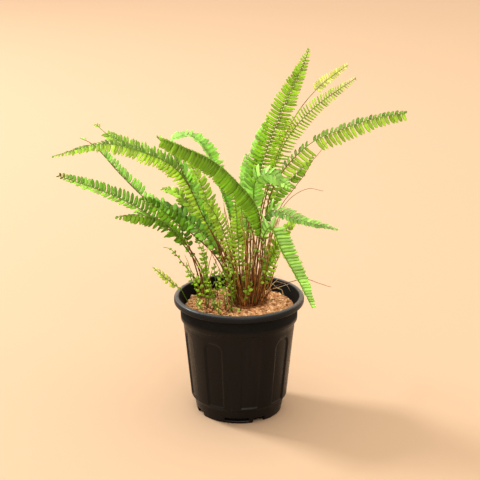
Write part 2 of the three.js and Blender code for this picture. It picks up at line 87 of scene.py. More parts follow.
def unit(v: Array) -> Array:
    """Scales each vector of an array to length 1.

    Args:
        v: vectors along the last axis.

    Returns:
        Their directions.
    """
    return v / np.linalg.norm(v, axis=-1, keepdims=True)


# -------- meshes


@dataclass
class Patch:
    """A closed surface, or many of them, as arrays.

    Attributes:
        points: corners, (N, 3).
        quads: four-sided faces, (M, 4), outwards.
        triangles: three-sided faces, (K, 3), outwards.
        marks: float attributes, one number per corner.
        finish: which of the object's materials covers it.
    """

    points: Array
    quads: Array
    triangles: Array
    marks: Marks = field(default_factory=dict)
    finish: int = 0


class Piece:
    """Puts patches together into one named object."""

    def __init__(self, name: str) -> None:
        """Starts an empty piece with the object's name."""
        self.name = name
        self.patches: list[Patch] = []

    def add(self, *patches: Patch) -> "Piece":
        """Adds patches and returns the piece itself."""
        self.patches.extend(patches)
        return self

    def build(self, materials: Sequence[Material], smooth: bool = True) -> bpy.types.Object:
        """Makes the mesh and the object, and links it to the scene.

        Args:
            materials: the finishes, in the order that the patches count them.
            smooth: whether faces are shaded smooth.

        Returns:
            The object, at the origin, with its place in its mesh.
        """
        starts = np.cumsum([0] + [len(p.points) for p in self.patches])
        counts = [len(p.quads) for p in self.patches] + [len(p.triangles) for p in self.patches]
        points = np.vstack([p.points for p in self.patches])
        quads = np.vstack([p.quads + s for p, s in zip(self.patches, starts)])
        triangles = np.vstack([p.triangles + s for p, s in zip(self.patches, starts)])
        slots = np.repeat([p.finish for p in self.patches] * 2, counts)
        mesh = bpy.data.meshes.new(self.name)
        mesh.vertices.add(len(points))
        mesh.vertices.foreach_set("co", points.astype(np.float32).ravel())
        corners = np.concatenate([quads.ravel(), triangles.ravel()]).astype(np.int32)
        mesh.loops.add(len(corners))
        mesh.loops.foreach_set("vertex_index", corners)
        totals = np.concatenate([np.full(len(quads), 4), np.full(len(triangles), 3)])
        mesh.polygons.add(len(totals))
        mesh.polygons.foreach_set("loop_start", (np.cumsum(totals) - totals).astype(np.int32))
        mesh.polygons.foreach_set("material_index", slots.astype(np.int32))
        mesh.polygons.foreach_set("use_smooth", np.full(len(totals), smooth))
        for name in sorted({name for p in self.patches for name in p.marks}):
            values = [p.marks.get(name, np.zeros(len(p.points))) for p in self.patches]
            mark = mesh.attributes.new(name, "FLOAT", "POINT")
            mark.data.foreach_set("value", np.concatenate(values).astype(np.float32))
        mesh.update(calc_edges=True)
        mesh.validate()
        for material in materials:
            mesh.materials.append(material)
        made = bpy.data.objects.new(self.name, mesh)
        bpy.context.scene.collection.objects.link(made)
        return made


def ride(piece: bpy.types.Object, slot: str, *nodes: str) -> None:
    """Settles a finished object on the part.

    Args:
        piece: the object.
        slot: the record's material slot; not used.
        nodes: the CAD nodes that it stands for, if any.
    """
    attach(piece, BODY)
    if nodes:
        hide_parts(*nodes)
    LOG.info("%s: %d faces", piece.name, len(piece.data.polygons))


def ring_quads(rings: int, around: int) -> Array:
    """Faces between stacked rings whose corners run anticlockwise about the stacking direction.

    Args:
        rings: number of rings.
        around: corners in each.

    Returns:
        Four corner numbers per face, ((rings - 1) * around, 4).
    """
    ring, turn = np.meshgrid(np.arange(rings - 1), np.arange(around), indexing="ij")
    after = (turn + 1) % around
    low, high = ring * around, (ring + 1) * around
    return np.stack([low + turn, low + after, high + after, high + turn], axis=-1).reshape(-1, 4)


def capped(rings: Array, marks: Marks | None = None) -> Patch:
    """Closes stacked rings with a point at the middle of the first and of the last.

    Args:
        rings: corners, (rings, around, 3), anticlockwise about the stacking direction.
        marks: float attributes, each (rings,) or (rings, around).

    Returns:
        The closed patch.
    """
    count, around = rings.shape[:2]
    ends = np.stack([rings[0].mean(axis=0), rings[-1].mean(axis=0)])
    first, last = count * around, count * around + 1
    turn = np.arange(around)
    after = (turn + 1) % around
    top = (count - 1) * around
    fans = [
        np.stack([np.full(around, first), after, turn], axis=-1),
        np.stack([np.full(around, last), top + turn, top + after], axis=-1),
    ]
    spread = {}
    for name, values in (marks or {}).items():
        full = np.broadcast_to(values.reshape(count, -1), (count, around))
        spread[name] = np.concatenate([full.ravel(), [full[0].mean(), full[-1].mean()]])
    points = np.vstack([rings.reshape(-1, 3), ends])
    return Patch(points, ring_quads(count, around), np.vstack(fans), spread)


def repeated(points: Array, quads: Array, triangles: Array, marks: Marks, finish: int = 0) -> Patch:
    """Joins many copies of one small closed shape, each with corners of its own.

    Args:
        points: corners, (copies, corners, 3).
        quads: the shape's four-sided faces, (M, 4).
        triangles: its three-sided faces, (K, 3).
        marks: float attributes, each (copies, corners).
        finish: which material covers them.

    Returns:
        One patch that holds every copy.
    """
    copies, corners = points.shape[:2]
    step = (np.arange(copies) * corners)[:, None, None]
    return Patch(
        points.reshape(-1, 3),
        (quads[None] + step).reshape(-1, 4),
        (triangles[None] + step).reshape(-1, 3),
        {name: np.broadcast_to(values, (copies, corners)).ravel() for name, values in marks.items()},
        finish,
    )


def tubes(points: Array, marks: Marks, finish: int = 0) -> Patch:
    """Joins many thin tubes, each of stacked rings, with a fan of triangles over both ends.

    Args:
        points: corners, (tubes, rings, sides, 3), anticlockwise about the way along.
        marks: float attributes, each (tubes, 1) or (tubes, corners).
        finish: which material covers them.

    Returns:
        One patch that holds every tube.
    """
    count, rings, sides = points.shape[:3]
    turn = np.arange(1, sides - 1)
    fan = np.stack([np.zeros_like(turn), turn, turn + 1], axis=-1)
    ends = np.vstack([fan[::-1][:, [0, 2, 1]], fan + (rings - 1) * sides])
    return repeated(points.reshape(count, -1, 3), ring_quads(rings, sides), ends, marks, finish)


def turns(count: int) -> Array:
    """Equal steps round a full turn, in radians, without the last."""
    return np.linspace(0, FULL_TURN, count, endpoint=False)


def disc(count: int, rng: Draws) -> tuple[Array, Array]:
    """Random places in a disc of radius 1, evenly over its area.

    Args:
        count: number of places.
        rng: the random numbers.

    Returns:
        The way out from the middle to each, (N, 3), and how far out it is, (N,).
    """
    turn, reach = rng.uniform(0, FULL_TURN, count), np.sqrt(rng.uniform(0, 1, count))
    return np.stack([np.sin(turn), -np.cos(turn), np.zeros(count)], axis=-1), reach


DIRECTIONS = 4
FINER = 1.9
LOWER = 1.8


def waves(points: Array, scale: float, seed: int, octaves: int) -> Array:
    """Smooth random heights: a sum of sines in random directions, each octave finer and lower.

    Args:
        points: places, (..., 3).
        scale: length of the longest waves.
        seed: seed of the directions and phases.
        octaves: number of octaves.

    Returns:
        Heights of about -1 to 1, one per place.
    """
    rng = np.random.default_rng(seed)
    total = np.zeros(points.shape[:-1])
    for octave in range(octaves):
        for _ in range(DIRECTIONS):
            direction = unit(rng.normal(size=3)) * (FULL_TURN / scale) * FINER**octave
            total += np.sin(points @ direction + rng.uniform(0, FULL_TURN)) / LOWER**octave
    return total / DIRECTIONS


@dataclass
class Route:
    """A smooth curve through given points, the one that the CAD model follows.

    Attributes:
        points: the places that it passes through.
        steps: dense places from one point to the next.
        nudge: share of the length to either side over which the way along is taken.
    """

    points: Sequence[Vec]
    steps: int = 60
    nudge: float = 0.004

    @cached_property
    def table(self) -> tuple[Array, Array]:
        """Dense places on the curve, and the length up to each.

        A cubic runs through each pair of neighbouring points. Its slopes are those of a centripetal
        Catmull-Rom spline, whose parameter grows with the square root of the distance.
        """
        p = np.asarray(self.points, float)
        p = np.vstack([2 * p[0] - p[1], p, 2 * p[-1] - p[-2]])
        gap = np.sqrt(np.linalg.norm(np.diff(p, axis=0), axis=1))[:, None]
        g0, g1, g2 = gap[:-2], gap[1:-1], gap[2:]
        x0, x1, x2, x3 = p[:-3], p[1:-2], p[2:-1], p[3:]
        out = ((x1 - x0) / g0 - (x2 - x0) / (g0 + g1) + (x2 - x1) / g1) * g1
        into = ((x2 - x1) / g1 - (x3 - x1) / (g1 + g2) + (x3 - x2) / g2) * g1
        w = np.linspace(0, 1, self.steps, endpoint=False)[None, :, None]
        square, cube = 3 * (x2 - x1) - 2 * out - into, 2 * (x1 - x2) + out + into
        parts = [v[:, None] for v in (x1, out, square, cube)]
        dense = parts[0] + parts[1] * w + parts[2] * w**2 + parts[3] * w**3
        dense = np.vstack([dense.reshape(-1, 3), p[-2]])
        lengths = np.concatenate([[0], np.cumsum(np.linalg.norm(np.diff(dense, axis=0), axis=1))])
        return dense, lengths

    @property
    def length(self) -> float:
        """The curve's length."""
        return float(self.table[1][-1])

    def at(self, shares: Array) -> Array:
        """Places at shares of the length, by straight steps between the dense places.

        Args:
            shares: from 0 at the first point to 1 at the last.

        Returns:
            One place for each share, (N, 3).
        """
        dense, lengths = self.table
        reach = np.asarray(shares) * lengths[-1]
        return np.stack([np.interp(reach, lengths, dense[:, axis]) for axis in range(3)], axis=-1)

    def axes(self, shares: Array, face: Vec) -> tuple[Array, Array, Array]:
        """Axes along the curve: t with it, s across the face and n out of the face.

        Args:
            shares: shares of the length.
            face: the way that the upper side looks.

        Returns:
            t, s and n, each (N, 3). n cross s is t.
        """
        shares = np.asarray(shares)
        ahead, behind = np.minimum(shares + self.nudge, 1), np.maximum(shares - self.nudge, 0)
        t = unit(self.at(ahead) - self.at(behind))
        s = unit(np.cross(t, np.asarray(face, float)))
        return t, s, np.cross(s, t)


def tube(places: Array, s: Array, n: Array, radii: Array, sides: int, marks: Marks) -> Patch:
    """A round tube: at each place a circle of the radius there, spanned by the two axes.

    Args:
        places: the middle line, (N, 3).
        s: the axis across, (N, 3).
        n: the other axis, (N, 3), with n cross s along the line.
        radii: the radius at each place, (N,).
        sides: corners in each ring.
        marks: float attributes, each (N,).

    Returns:
        The closed tube.
    """
    turn = turns(sides)[None, :, None]
    rings = places[:, None] + radii[:, None, None] * (np.cos(turn) * n[:, None] + np.sin(turn) * s[:, None])
    return capped(rings, marks)


# -------- node tools


class Graph:
    """Short calls that add nodes to a tree and link them."""

    def __init__(self, tree: bpy.types.NodeTree) -> None:
        """Empties the material's or the group's tree and starts on it."""
        self.tree = tree
        tree.nodes.clear()

    def node(self, kind: str, inputs: dict[str | int, Any] | None = None, **settings: Any) -> bpy.types.Node:
        """Adds a node.

        Args:
            kind: Blender's name of the node type.
            inputs: a value or a socket for each named or counted input.
            settings: the node's own properties.

        Returns:
            The node.
        """
        made = self.tree.nodes.new(kind)
        for name, value in settings.items():
            setattr(made, name, value)
        for name, value in (inputs or {}).items():
            self.feed(made.inputs[name], value)
        return made

    def feed(self, socket: Socket, value: Any) -> None:
        """Links a socket into another, or sets its value.

        Args:
            socket: where it goes.
            value: a socket or a plain value.
        """
        if isinstance(value, Socket):
            self.tree.links.new(value, socket)
        else:
            socket.default_value = value

    def math(self, operation: str, a: Any, b: Any = 0.0, clamp: bool = False) -> Socket:
        """One sum on numbers.

        Args:
            operation: Blender's name of it.
            a: the first number.
            b: the second, where it takes two.
            clamp: whether the result is held from 0 to 1.

        Returns:
            The result.
        """
        made = self.node("ShaderNodeMath", operation=operation, use_clamp=clamp)
        self.feed(made.inputs[0], a)
        self.feed(made.inputs[1], b)
        return made.outputs[0]

    def plus(self, a: Any, b: Any, clamp: bool = False) -> Socket:
        """The sum of two numbers."""
        return self.math("ADD", a, b, clamp)

    def minus(self, a: Any, b: Any) -> Socket:
        """The first number less the second."""
        return self.math("SUBTRACT", a, b)

    def times(self, a: Any, b: Any) -> Socket:
        """The product of two numbers."""
        return self.math("MULTIPLY", a, b)

    def mix(self, factor: Any, a: Any, b: Any) -> Socket:
        """A colour mixed from two.

        Args:
            factor: share of the second.
            a: the first.
            b: the second.

        Returns:
            The colour.
        """
        made = self.node("ShaderNodeMix", data_type="RGBA")
        for name, value in (("Factor_Float", factor), ("A_Color", a), ("B_Color", b)):
            self.feed(next(x for x in made.inputs if x.identifier == name), value)
        return next(x for x in made.outputs if x.identifier == "Result_Color")

    def span(self, value: Any, low: float, high: float, start: float = 0.0, end: float = 1.0) -> Socket:
        """A number moved smoothly from one range to another, and held at its ends.

        Args:
            value: the number.
            low: where the first range starts.
            high: where it ends.
            start: where the second range starts.
            end: where it ends.

        Returns:
            The moved number.
        """
        inputs = {"Value": value, "From Min": low, "From Max": high, "To Min": start, "To Max": end}
        made = self.node("ShaderNodeMapRange", inputs, interpolation_type="SMOOTHSTEP")
        return made.outputs["Result"]

    def mark(self, name: str) -> Socket:
        """The number that a float attribute holds on the surface."""
        return self.node("ShaderNodeAttribute", attribute_name=name).outputs["Fac"]

    def place(self) -> Socket:
        """Places in the object's own coordinates."""
        return self.node("ShaderNodeTexCoord").outputs["Object"]

    def noise(self, scale: Any, detail: float = 3.0, vector: Any = None) -> Socket:
        """A cloudy pattern from 0 to 1."""
        inputs = {"Vector": vector or self.place(), "Scale": scale, "Detail": detail}
        return self.node("ShaderNodeTexNoise", inputs).outputs["Fac"]

    def ramp(self, factor: Any, stops: Sequence[tuple[float, Colour]]) -> Socket:
        """A colour that runs through stops.

        Args:
            factor: from 0 to 1.
            stops: the factor at each stop, and its colour.

        Returns:
            The colour.
        """
        made = self.node("ShaderNodeValToRGB", {"Fac": factor})
        band = made.color_ramp.elements
        while len(band) < len(stops):
            band.new(1.0)
        for element, (position, colour) in zip(band, stops):
            element.position, element.color = position, colour
        return made.outputs["Color"]

    def bump(self, height: Any, distance: float, strength: float = 1.0) -> Socket:
        """A normal that is tilted by a height."""
        inputs = {"Height": height, "Distance": distance, "Strength": strength}
        return self.node("ShaderNodeBump", inputs).outputs["Normal"]

    def skin(self, inputs: dict[str, Any]) -> Socket:
        """The usual surface with these inputs."""
        return self.node("ShaderNodeBsdfPrincipled", inputs).outputs[0]


class Effect(Enum):
    """The shared effects, each one node group."""

    LEAF = "leaf_surface"
    FIBRE = "fibre_grain"
    MOTTLE = "mottle"


LEAF_COLOURS = ("body", "young", "back", "withered", "deep", "glow")


class Effects:
    """Builds each shared effect once and places it in a material's graph."""

    def __init__(self) -> None:
        """Builds every group."""
        self.groups = {
            Effect.LEAF: self.leaf(),
            Effect.FIBRE: self.fibre(),
            Effect.MOTTLE: self.mottle(),
        }

    @staticmethod
    def start(effect: Effect, inputs: dict[str, str], outputs: dict[str, str]) -> tuple[Graph, Any, Any]:
        """Makes an empty group with its sockets.

        Args:
            effect: which effect it is.
            inputs: name and kind of each input, "Color" or "Float".
            outputs: the same for each output.

        Returns:
            The graph, the input node's sockets and the output node's sockets.
        """
        tree = bpy.data.node_groups.new(effect.value, "ShaderNodeTree")
        for way, sockets in (("INPUT", inputs), ("OUTPUT", outputs)):
            for name, kind in sockets.items():
                tree.interface.new_socket(name, in_out=way, socket_type="NodeSocket" + kind)
        graph = Graph(tree)
        return graph, graph.node("NodeGroupInput").outputs, graph.node("NodeGroupOutput").inputs

    def leaf(self) -> bpy.types.NodeTree:
        """A leaflet's surface: body colour, pale midrib, forked side veins, young tip, pale back, and painted
        shade at its foot and on darker rows.
        """
        graph, given, out = self.start(
            Effect.LEAF,
            dict.fromkeys(LEAF_COLOURS, "Color") | {"variation": "Float"},
            {"Colour": "Color", "Through": "Color", "Height": "Float", "Roughness": "Float"},
        )
        reach, across, under = graph.mark("reach"), graph.mark("across"), graph.mark("under")
        side, deep = graph.math("ABSOLUTE", across), graph.mark("deep")
        age = graph.plus(graph.mark("young"), graph.span(reach, 0.75, 1.05, 0, 0.25), clamp=True)
        # The deep mark mixes in painted shade, for rows seen from their shaded side.
        colour = graph.mix(deep, graph.mix(age, given["body"], given["young"]), given["deep"])
        own = graph.times(graph.minus(graph.mark("leaflet"), 0.5), given["variation"])
        cloud = graph.minus(graph.noise(320, 2), 0.5)
        # Painted shade: darker towards the leaflet's foot by the midrib, less so on young leaflets.
        foot = graph.times(graph.span(reach, 0.0, 0.35, -0.65, 0.0), graph.minus(1.15, age))
        light = graph.plus(graph.plus(1.0, foot), graph.plus(own, graph.times(cloud, 0.35)))
        tint = graph.node("ShaderNodeHueSaturation", {"Value": light, "Color": colour})
        veins = graph.math("SINE", graph.times(graph.minus(reach, graph.times(side, 0.16)), 82.0))
        ridge = graph.times(graph.span(veins, 0.2, 1.0), graph.span(side, 0.08, 0.2))
        midrib = graph.span(side, 0.02, 0.14, 1, 0)
        raised = graph.plus(graph.times(ridge, 0.45), midrib, clamp=True)
        rim = graph.plus(graph.times(raised, 0.3), graph.span(side, 0.6, 1.0, 0, 0.3), clamp=True)
        pale = graph.mix(rim, tint.outputs["Color"], given["young"])
        backed = graph.mix(graph.times(under, 0.6), pale, given["back"])
        spots = graph.span(graph.plus(graph.mark("withered"), graph.times(cloud, 0.5)), 0.3, 0.7)
        final = graph.mix(spots, backed, given["withered"])
        # The light that comes through is darkened by the same painted shade.
        shine = graph.mix(graph.times(deep, 0.8), given["glow"], given["deep"])
        graph.feed(out["Colour"], final)
        graph.feed(out["Through"], graph.mix(0.5, final, shine))
        graph.feed(out["Height"], graph.minus(0.5, graph.times(raised, 0.5)))
        graph.feed(out["Roughness"], graph.span(under, 0.2, 0.8, 0.36, 0.6))
        return graph.tree

    def fibre(self) -> bpy.types.NodeTree:
        """Long fibres, knots and dust on a stalk: colour share and height."""
        graph, given, out = self.start(Effect.FIBRE, {"Scale": "Float"}, {"Fac": "Float", "Height": "Float"})
        stretch = graph.node("ShaderNodeMapping", {"Vector": graph.place(), "Scale": (1.0, 1.0, 0.12)})
        strand = graph.noise(given["Scale"], 4.0, stretch.outputs["Vector"])
        graph.feed(out["Fac"], graph.plus(graph.times(strand, 0.7), graph.times(graph.noise(900, 2), 0.3)))
        graph.feed(out["Height"], strand)
        return graph.tree

    def mottle(self) -> bpy.types.NodeTree:
        """Two sizes of cloud in one number, with the finer one as height."""
        inputs, outputs = {"Coarse": "Float", "Fine": "Float"}, {"Fac": "Float", "Height": "Float"}
        graph, given, out = self.start(Effect.MOTTLE, inputs, outputs)
        broad, close = graph.noise(given["Coarse"]), graph.noise(given["Fine"])
        both = graph.plus(graph.times(broad, 0.6), graph.times(close, 0.4))
        graph.feed(out["Fac"], graph.span(both, 0.3, 0.7))
        graph.feed(out["Height"], close)
        return graph.tree

    def place(self, graph: Graph, effect: Effect, inputs: dict[str, Any]) -> bpy.types.bpy_prop_collection:
        """Puts an effect into a material.

        Args:
            graph: the material's graph.
            effect: which effect.
            inputs: its values.

        Returns:
            The effect's outputs.
        """
        made = graph.node("ShaderNodeGroup", node_tree=self.groups[effect])
        for name, value in inputs.items():
            graph.feed(made.inputs[name], value)
        return made.outputs


def new_material(name: str) -> tuple[Material, Graph, Socket]:
    """An empty material with its output node.

    Args:
        name: the material's name.

    Returns:
        The material, its graph and the output's surface.
    """
    material = bpy.data.materials.new(name)
    material.use_nodes = True
    graph = Graph(material.node_tree)
    return material, graph, graph.node("ShaderNodeOutputMaterial").inputs["Surface"]


# -------- finishes


@dataclass(frozen=True)
class LeafFinish:
    """Living leaf: a waxy upper side, a pale back, and light that shines through.

    Attributes:
        name: the material's name.
        body: colour of a grown leaflet.
        young: colour of a fresh one, and of the veins.
        back: colour of the underside.
        glow: colour of the light that comes through.
        through: share of light that does.
        variation: how much leaflets differ in brightness.
        withered: colour of a dead leaflet.
        deep: painted shade colour for a leaflet row seen from its shaded side.
    """

    name: str
    body: str
    young: str
    back: str
    glow: str
    through: float = 0.42
    variation: float = 0.6
    withered: str = "8a6136"
    deep: str = "5a8a08"

    def material(self, effects: Effects) -> Material:
        """Builds the material from the leaf effect.

        Args:
            effects: the shared effects.

        Returns:
            The material.
        """
        made, graph, surface = new_material(self.name)
        inputs = {name: linear(getattr(self, name)) for name in LEAF_COLOURS}
        leaf = effects.place(graph, Effect.LEAF, inputs | {"variation": self.variation})
        normal = graph.bump(leaf["Height"], 0.00012, 0.6)
        skin = graph.skin({
            "Base Color": leaf["Colour"], "Roughness": leaf["Roughness"], "Normal": normal,
            "Specular IOR Level": 0.4, "Coat Weight": 0.08, "Coat Roughness": 0.3,
        })
        clear = graph.node("ShaderNodeBsdfTranslucent", {"Color": leaf["Through"], "Normal": normal})
        both = graph.node("ShaderNodeMixShader", {0: self.through, 1: skin, 2: clear.outputs[0]})
        graph.feed(surface, both.outputs[0])
        return made


@dataclass(frozen=True)
class StalkFinish:
    """A wiry stalk, brown and scaly at its foot and green further on.

    Attributes:
        name: the material's name.
        brown: colour of the foot.
        dark: colour of its darkest fibres.
        green: colour of the living end.
        roughness: mean roughness.
    """

    name: str
    brown: str
    dark: str
    green: str
    roughness: float = 0.5

    def material(self, effects: Effects) -> Material:
        """Builds the material: the attribute "green" says how far a place has turned green.

        Args:
            effects: the shared effects.

        Returns:
            The material.
        """
        made, graph, surface = new_material(self.name)
        grain = effects.place(graph, Effect.FIBRE, {"Scale": 700.0})
        brown = graph.mix(graph.span(grain["Fac"], 0.35, 0.65), linear(self.dark), linear(self.brown))
        turned = graph.plus(graph.mark("green"), graph.times(grain["Fac"], 0.3))
        smooth, rough = self.roughness - 0.1, self.roughness + 0.15
        graph.feed(surface, graph.skin({
            "Base Color": graph.mix(graph.span(turned, 0.35, 0.95), brown, linear(self.green)),
            "Roughness": graph.span(grain["Fac"], 0.3, 0.7, smooth, rough),
            "Normal": graph.bump(grain["Height"], 0.0002, 0.7),
        }))
        return made


@dataclass(frozen=True)
class PotFinish:
    """Black-brown moulded plastic with fine grain, faint flow marks and some dust; painted reflection and
    highlight on the lip, painted shade inside.

    Attributes:
        name: the material's name.
        body: colour of the plastic.
        worn: colour where it is rubbed and dusty.
        lip: colour of the lip, cooler: a painted bluish reflection of the sky.
        crest: painted highlight along the lip's top.
        hollow: painted shade of the inside, which light hardly reaches.
        roughness: mean roughness.
    """

    name: str = "moulded_black_plastic"
    body: str = "0d0908"
    worn: str = "2c211a"
    lip: str = "16191e"
    crest: str = "4a4b4e"
    hollow: str = "060504"
    roughness: float = 0.31

    def material(self, effects: Effects) -> Material:
        """Builds the material from the mottle effect and long drawn flow marks.

        Args:
            effects: the shared effects.

        Returns:
            The material.
        """
        made, graph, surface = new_material(self.name)
        cloud = effects.place(graph, Effect.MOTTLE, {"Coarse": 22.0, "Fine": 260.0})
        place = graph.place()
        flow = graph.node("ShaderNodeMapping", {"Vector": place, "Scale": (1.0, 1.0, 0.06)})
        streak = graph.noise(95, 2, flow.outputs["Vector"])
        x, y, height = graph.node("ShaderNodeSeparateXYZ", {0: place}).outputs
        across = graph.math("SQRT", graph.plus(graph.times(x, x), graph.times(y, y)))
        # Painted shade inside the pot, where light hardly reaches.
        inside = graph.times(graph.span(across, 0.0685, 0.0705, 1, 0), graph.span(height, 0.115, 0.12))
        low, top = graph.span(height, 0.0, 0.03, 1.0, 0.0), graph.span(height, 0.134, 0.14)
        dust = graph.times(graph.plus(graph.times(low, 0.1), graph.times(top, 0.25)), cloud["Fac"])
        worn = graph.plus(dust, graph.times(graph.span(streak, 0.55, 0.75), 0.16), clamp=True)
        relief = graph.plus(graph.times(graph.noise(2600, 2), 0.35), graph.times(cloud["Height"], 0.65))
        rough = graph.plus(self.roughness - 0.08, graph.times(cloud["Fac"], 0.2))
        plain = graph.mix(worn, linear(self.body), linear(self.worn))
        # Painted reflection: the lip takes a cooler colour, as if it mirrored the sky.
        rolled = graph.mix(graph.span(height, 0.1315, 0.138), plain, linear(self.lip))
        # Painted highlight: a paler band along the lip's crest.
        lipped = graph.mix(graph.span(height, 0.1386, 0.1398), rolled, linear(self.crest))
        graph.feed(surface, graph.skin({
            "Base Color": graph.mix(inside, lipped, linear(self.hollow)),
            "Roughness": graph.plus(rough, graph.times(graph.plus(dust, inside), 0.5)),
            "Normal": graph.bump(relief, 0.0001, 0.2),
            "Specular IOR Level": 0.3,
        }))
        return made


@dataclass(frozen=True)
class EarthFinish:
    """Crumbly matter, from dark crumbs to pale fibres by the attribute "grain", which on the mix also carries
    painted shade.

    Attributes:
        name: the material's name.
        colours: from the darkest to the palest.
        roughness: the one roughness.
    """

    name: str
    colours: tuple[str, ...]
    roughness: float = 0.95

    def material(self, effects: Effects) -> Material:
        """Builds the material: each crumb has its own number, clouded by the mottle effect.

        Args:
            effects: the shared effects.

        Returns:
            The material.
        """
        made, graph, surface = new_material(self.name)
        cloud = effects.place(graph, Effect.MOTTLE, {"Coarse": 120.0, "Fine": 900.0})
        share = graph.plus(graph.times(graph.mark("grain"), 0.72), graph.times(cloud["Fac"], 0.28))
        last = len(self.colours) - 1
        stops = [(i / last, linear(code)) for i, code in enumerate(self.colours)]
        graph.feed(surface, graph.skin({
            "Base Color": graph.ramp(share, stops), "Roughness": self.roughness,
            "Specular IOR Level": 0.2, "Normal": graph.bump(cloud["Height"], 0.0004, 0.8),
        }))
        return made


class Tone(Enum):
    """The plant's leaf colours. Each is a material slot of the record."""

    DEEP = "leaf_deep"
    MID = "leaf_mid"
    BRIGHT = "leaf_bright"
    PALE = "leaf_pale"
    BLUE = "leaf_blue"


LEAVES = {
    Tone.DEEP: LeafFinish("leaf_deep_green", "629c18", "b8da58", "aed070", "c4e040", 0.44),
    Tone.MID: LeafFinish("leaf_mid_green", "84be1e", "c8e46a", "bcd87a", "d0ec4a", 0.48),
    Tone.BRIGHT: LeafFinish("leaf_bright_green", "98ca2a", "d8ee78", "c8e284", "dcf454", 0.50),
    Tone.PALE: LeafFinish("leaf_pale_green", "c8dc64", "eef2ac", "dce8a4", "ecf482", 0.52),
    Tone.BLUE: LeafFinish("leaf_blue_green", "a0d654", "d2f49c", "ccf2a8", "caf27c", 0.52),
}
STALK = StalkFinish("stalk_wiry", "8c6230", "52300f", "6e8e22")
DRY_STALK = StalkFinish("stalk_dry", "c08848", "74451e", "a8a044", 0.6)
RUNNER = StalkFinish("runner_brown", "8c5a3a", "5a3220", "97714a", 0.6)
ROOT = StalkFinish("root_pale", "e0cca2", "b4966c", "e8d8b2", 0.75)
MIX = EarthFinish("coir_mix", ("180d07", "8a5830", "c8946a", "e4b88c", "f6d6b0", "fff0d8"))
FIBRE = EarthFinish("coir_fibre", ("94683e", "cc9e70", "ecc89c", "fce4c0"))
SCALES = EarthFinish("papery_scales", ("4a2a16", "7c4e2c", "a87848", "cca070"), 0.8)


class Finishes:
    """Every material of the plant, built once."""

    def __init__(self) -> None:
        """Builds the shared effects and then the materials."""
        effects = Effects()
        self.leaves = {tone: finish.material(effects) for tone, finish in LEAVES.items()}
        self.stalk = STALK.material(effects)
        self.dry = DRY_STALK.material(effects)
        self.runner = RUNNER.material(effects)
        self.root = ROOT.material(effects)
        self.pot = PotFinish().material(effects)
        self.mix = MIX.material(effects)
        self.fibre = FIBRE.material(effects)
        self.scales = SCALES.material(effects)


# -------- pot


@dataclass(frozen=True)
class Drain:
    """Four equal cuts round the base ring.

    Attributes:
        first: degrees from -Y to the first.
        width: width along the ring.
        low: height of the lower edge.
        high: height of the upper edge.
        reach: half length of the cut across the wall.
        narrow: width of the upper edge against the lower one.
    """

    first: float
    width: float
    low: float
    high: float
    reach: float = 0.008
    narrow: float = 0.86


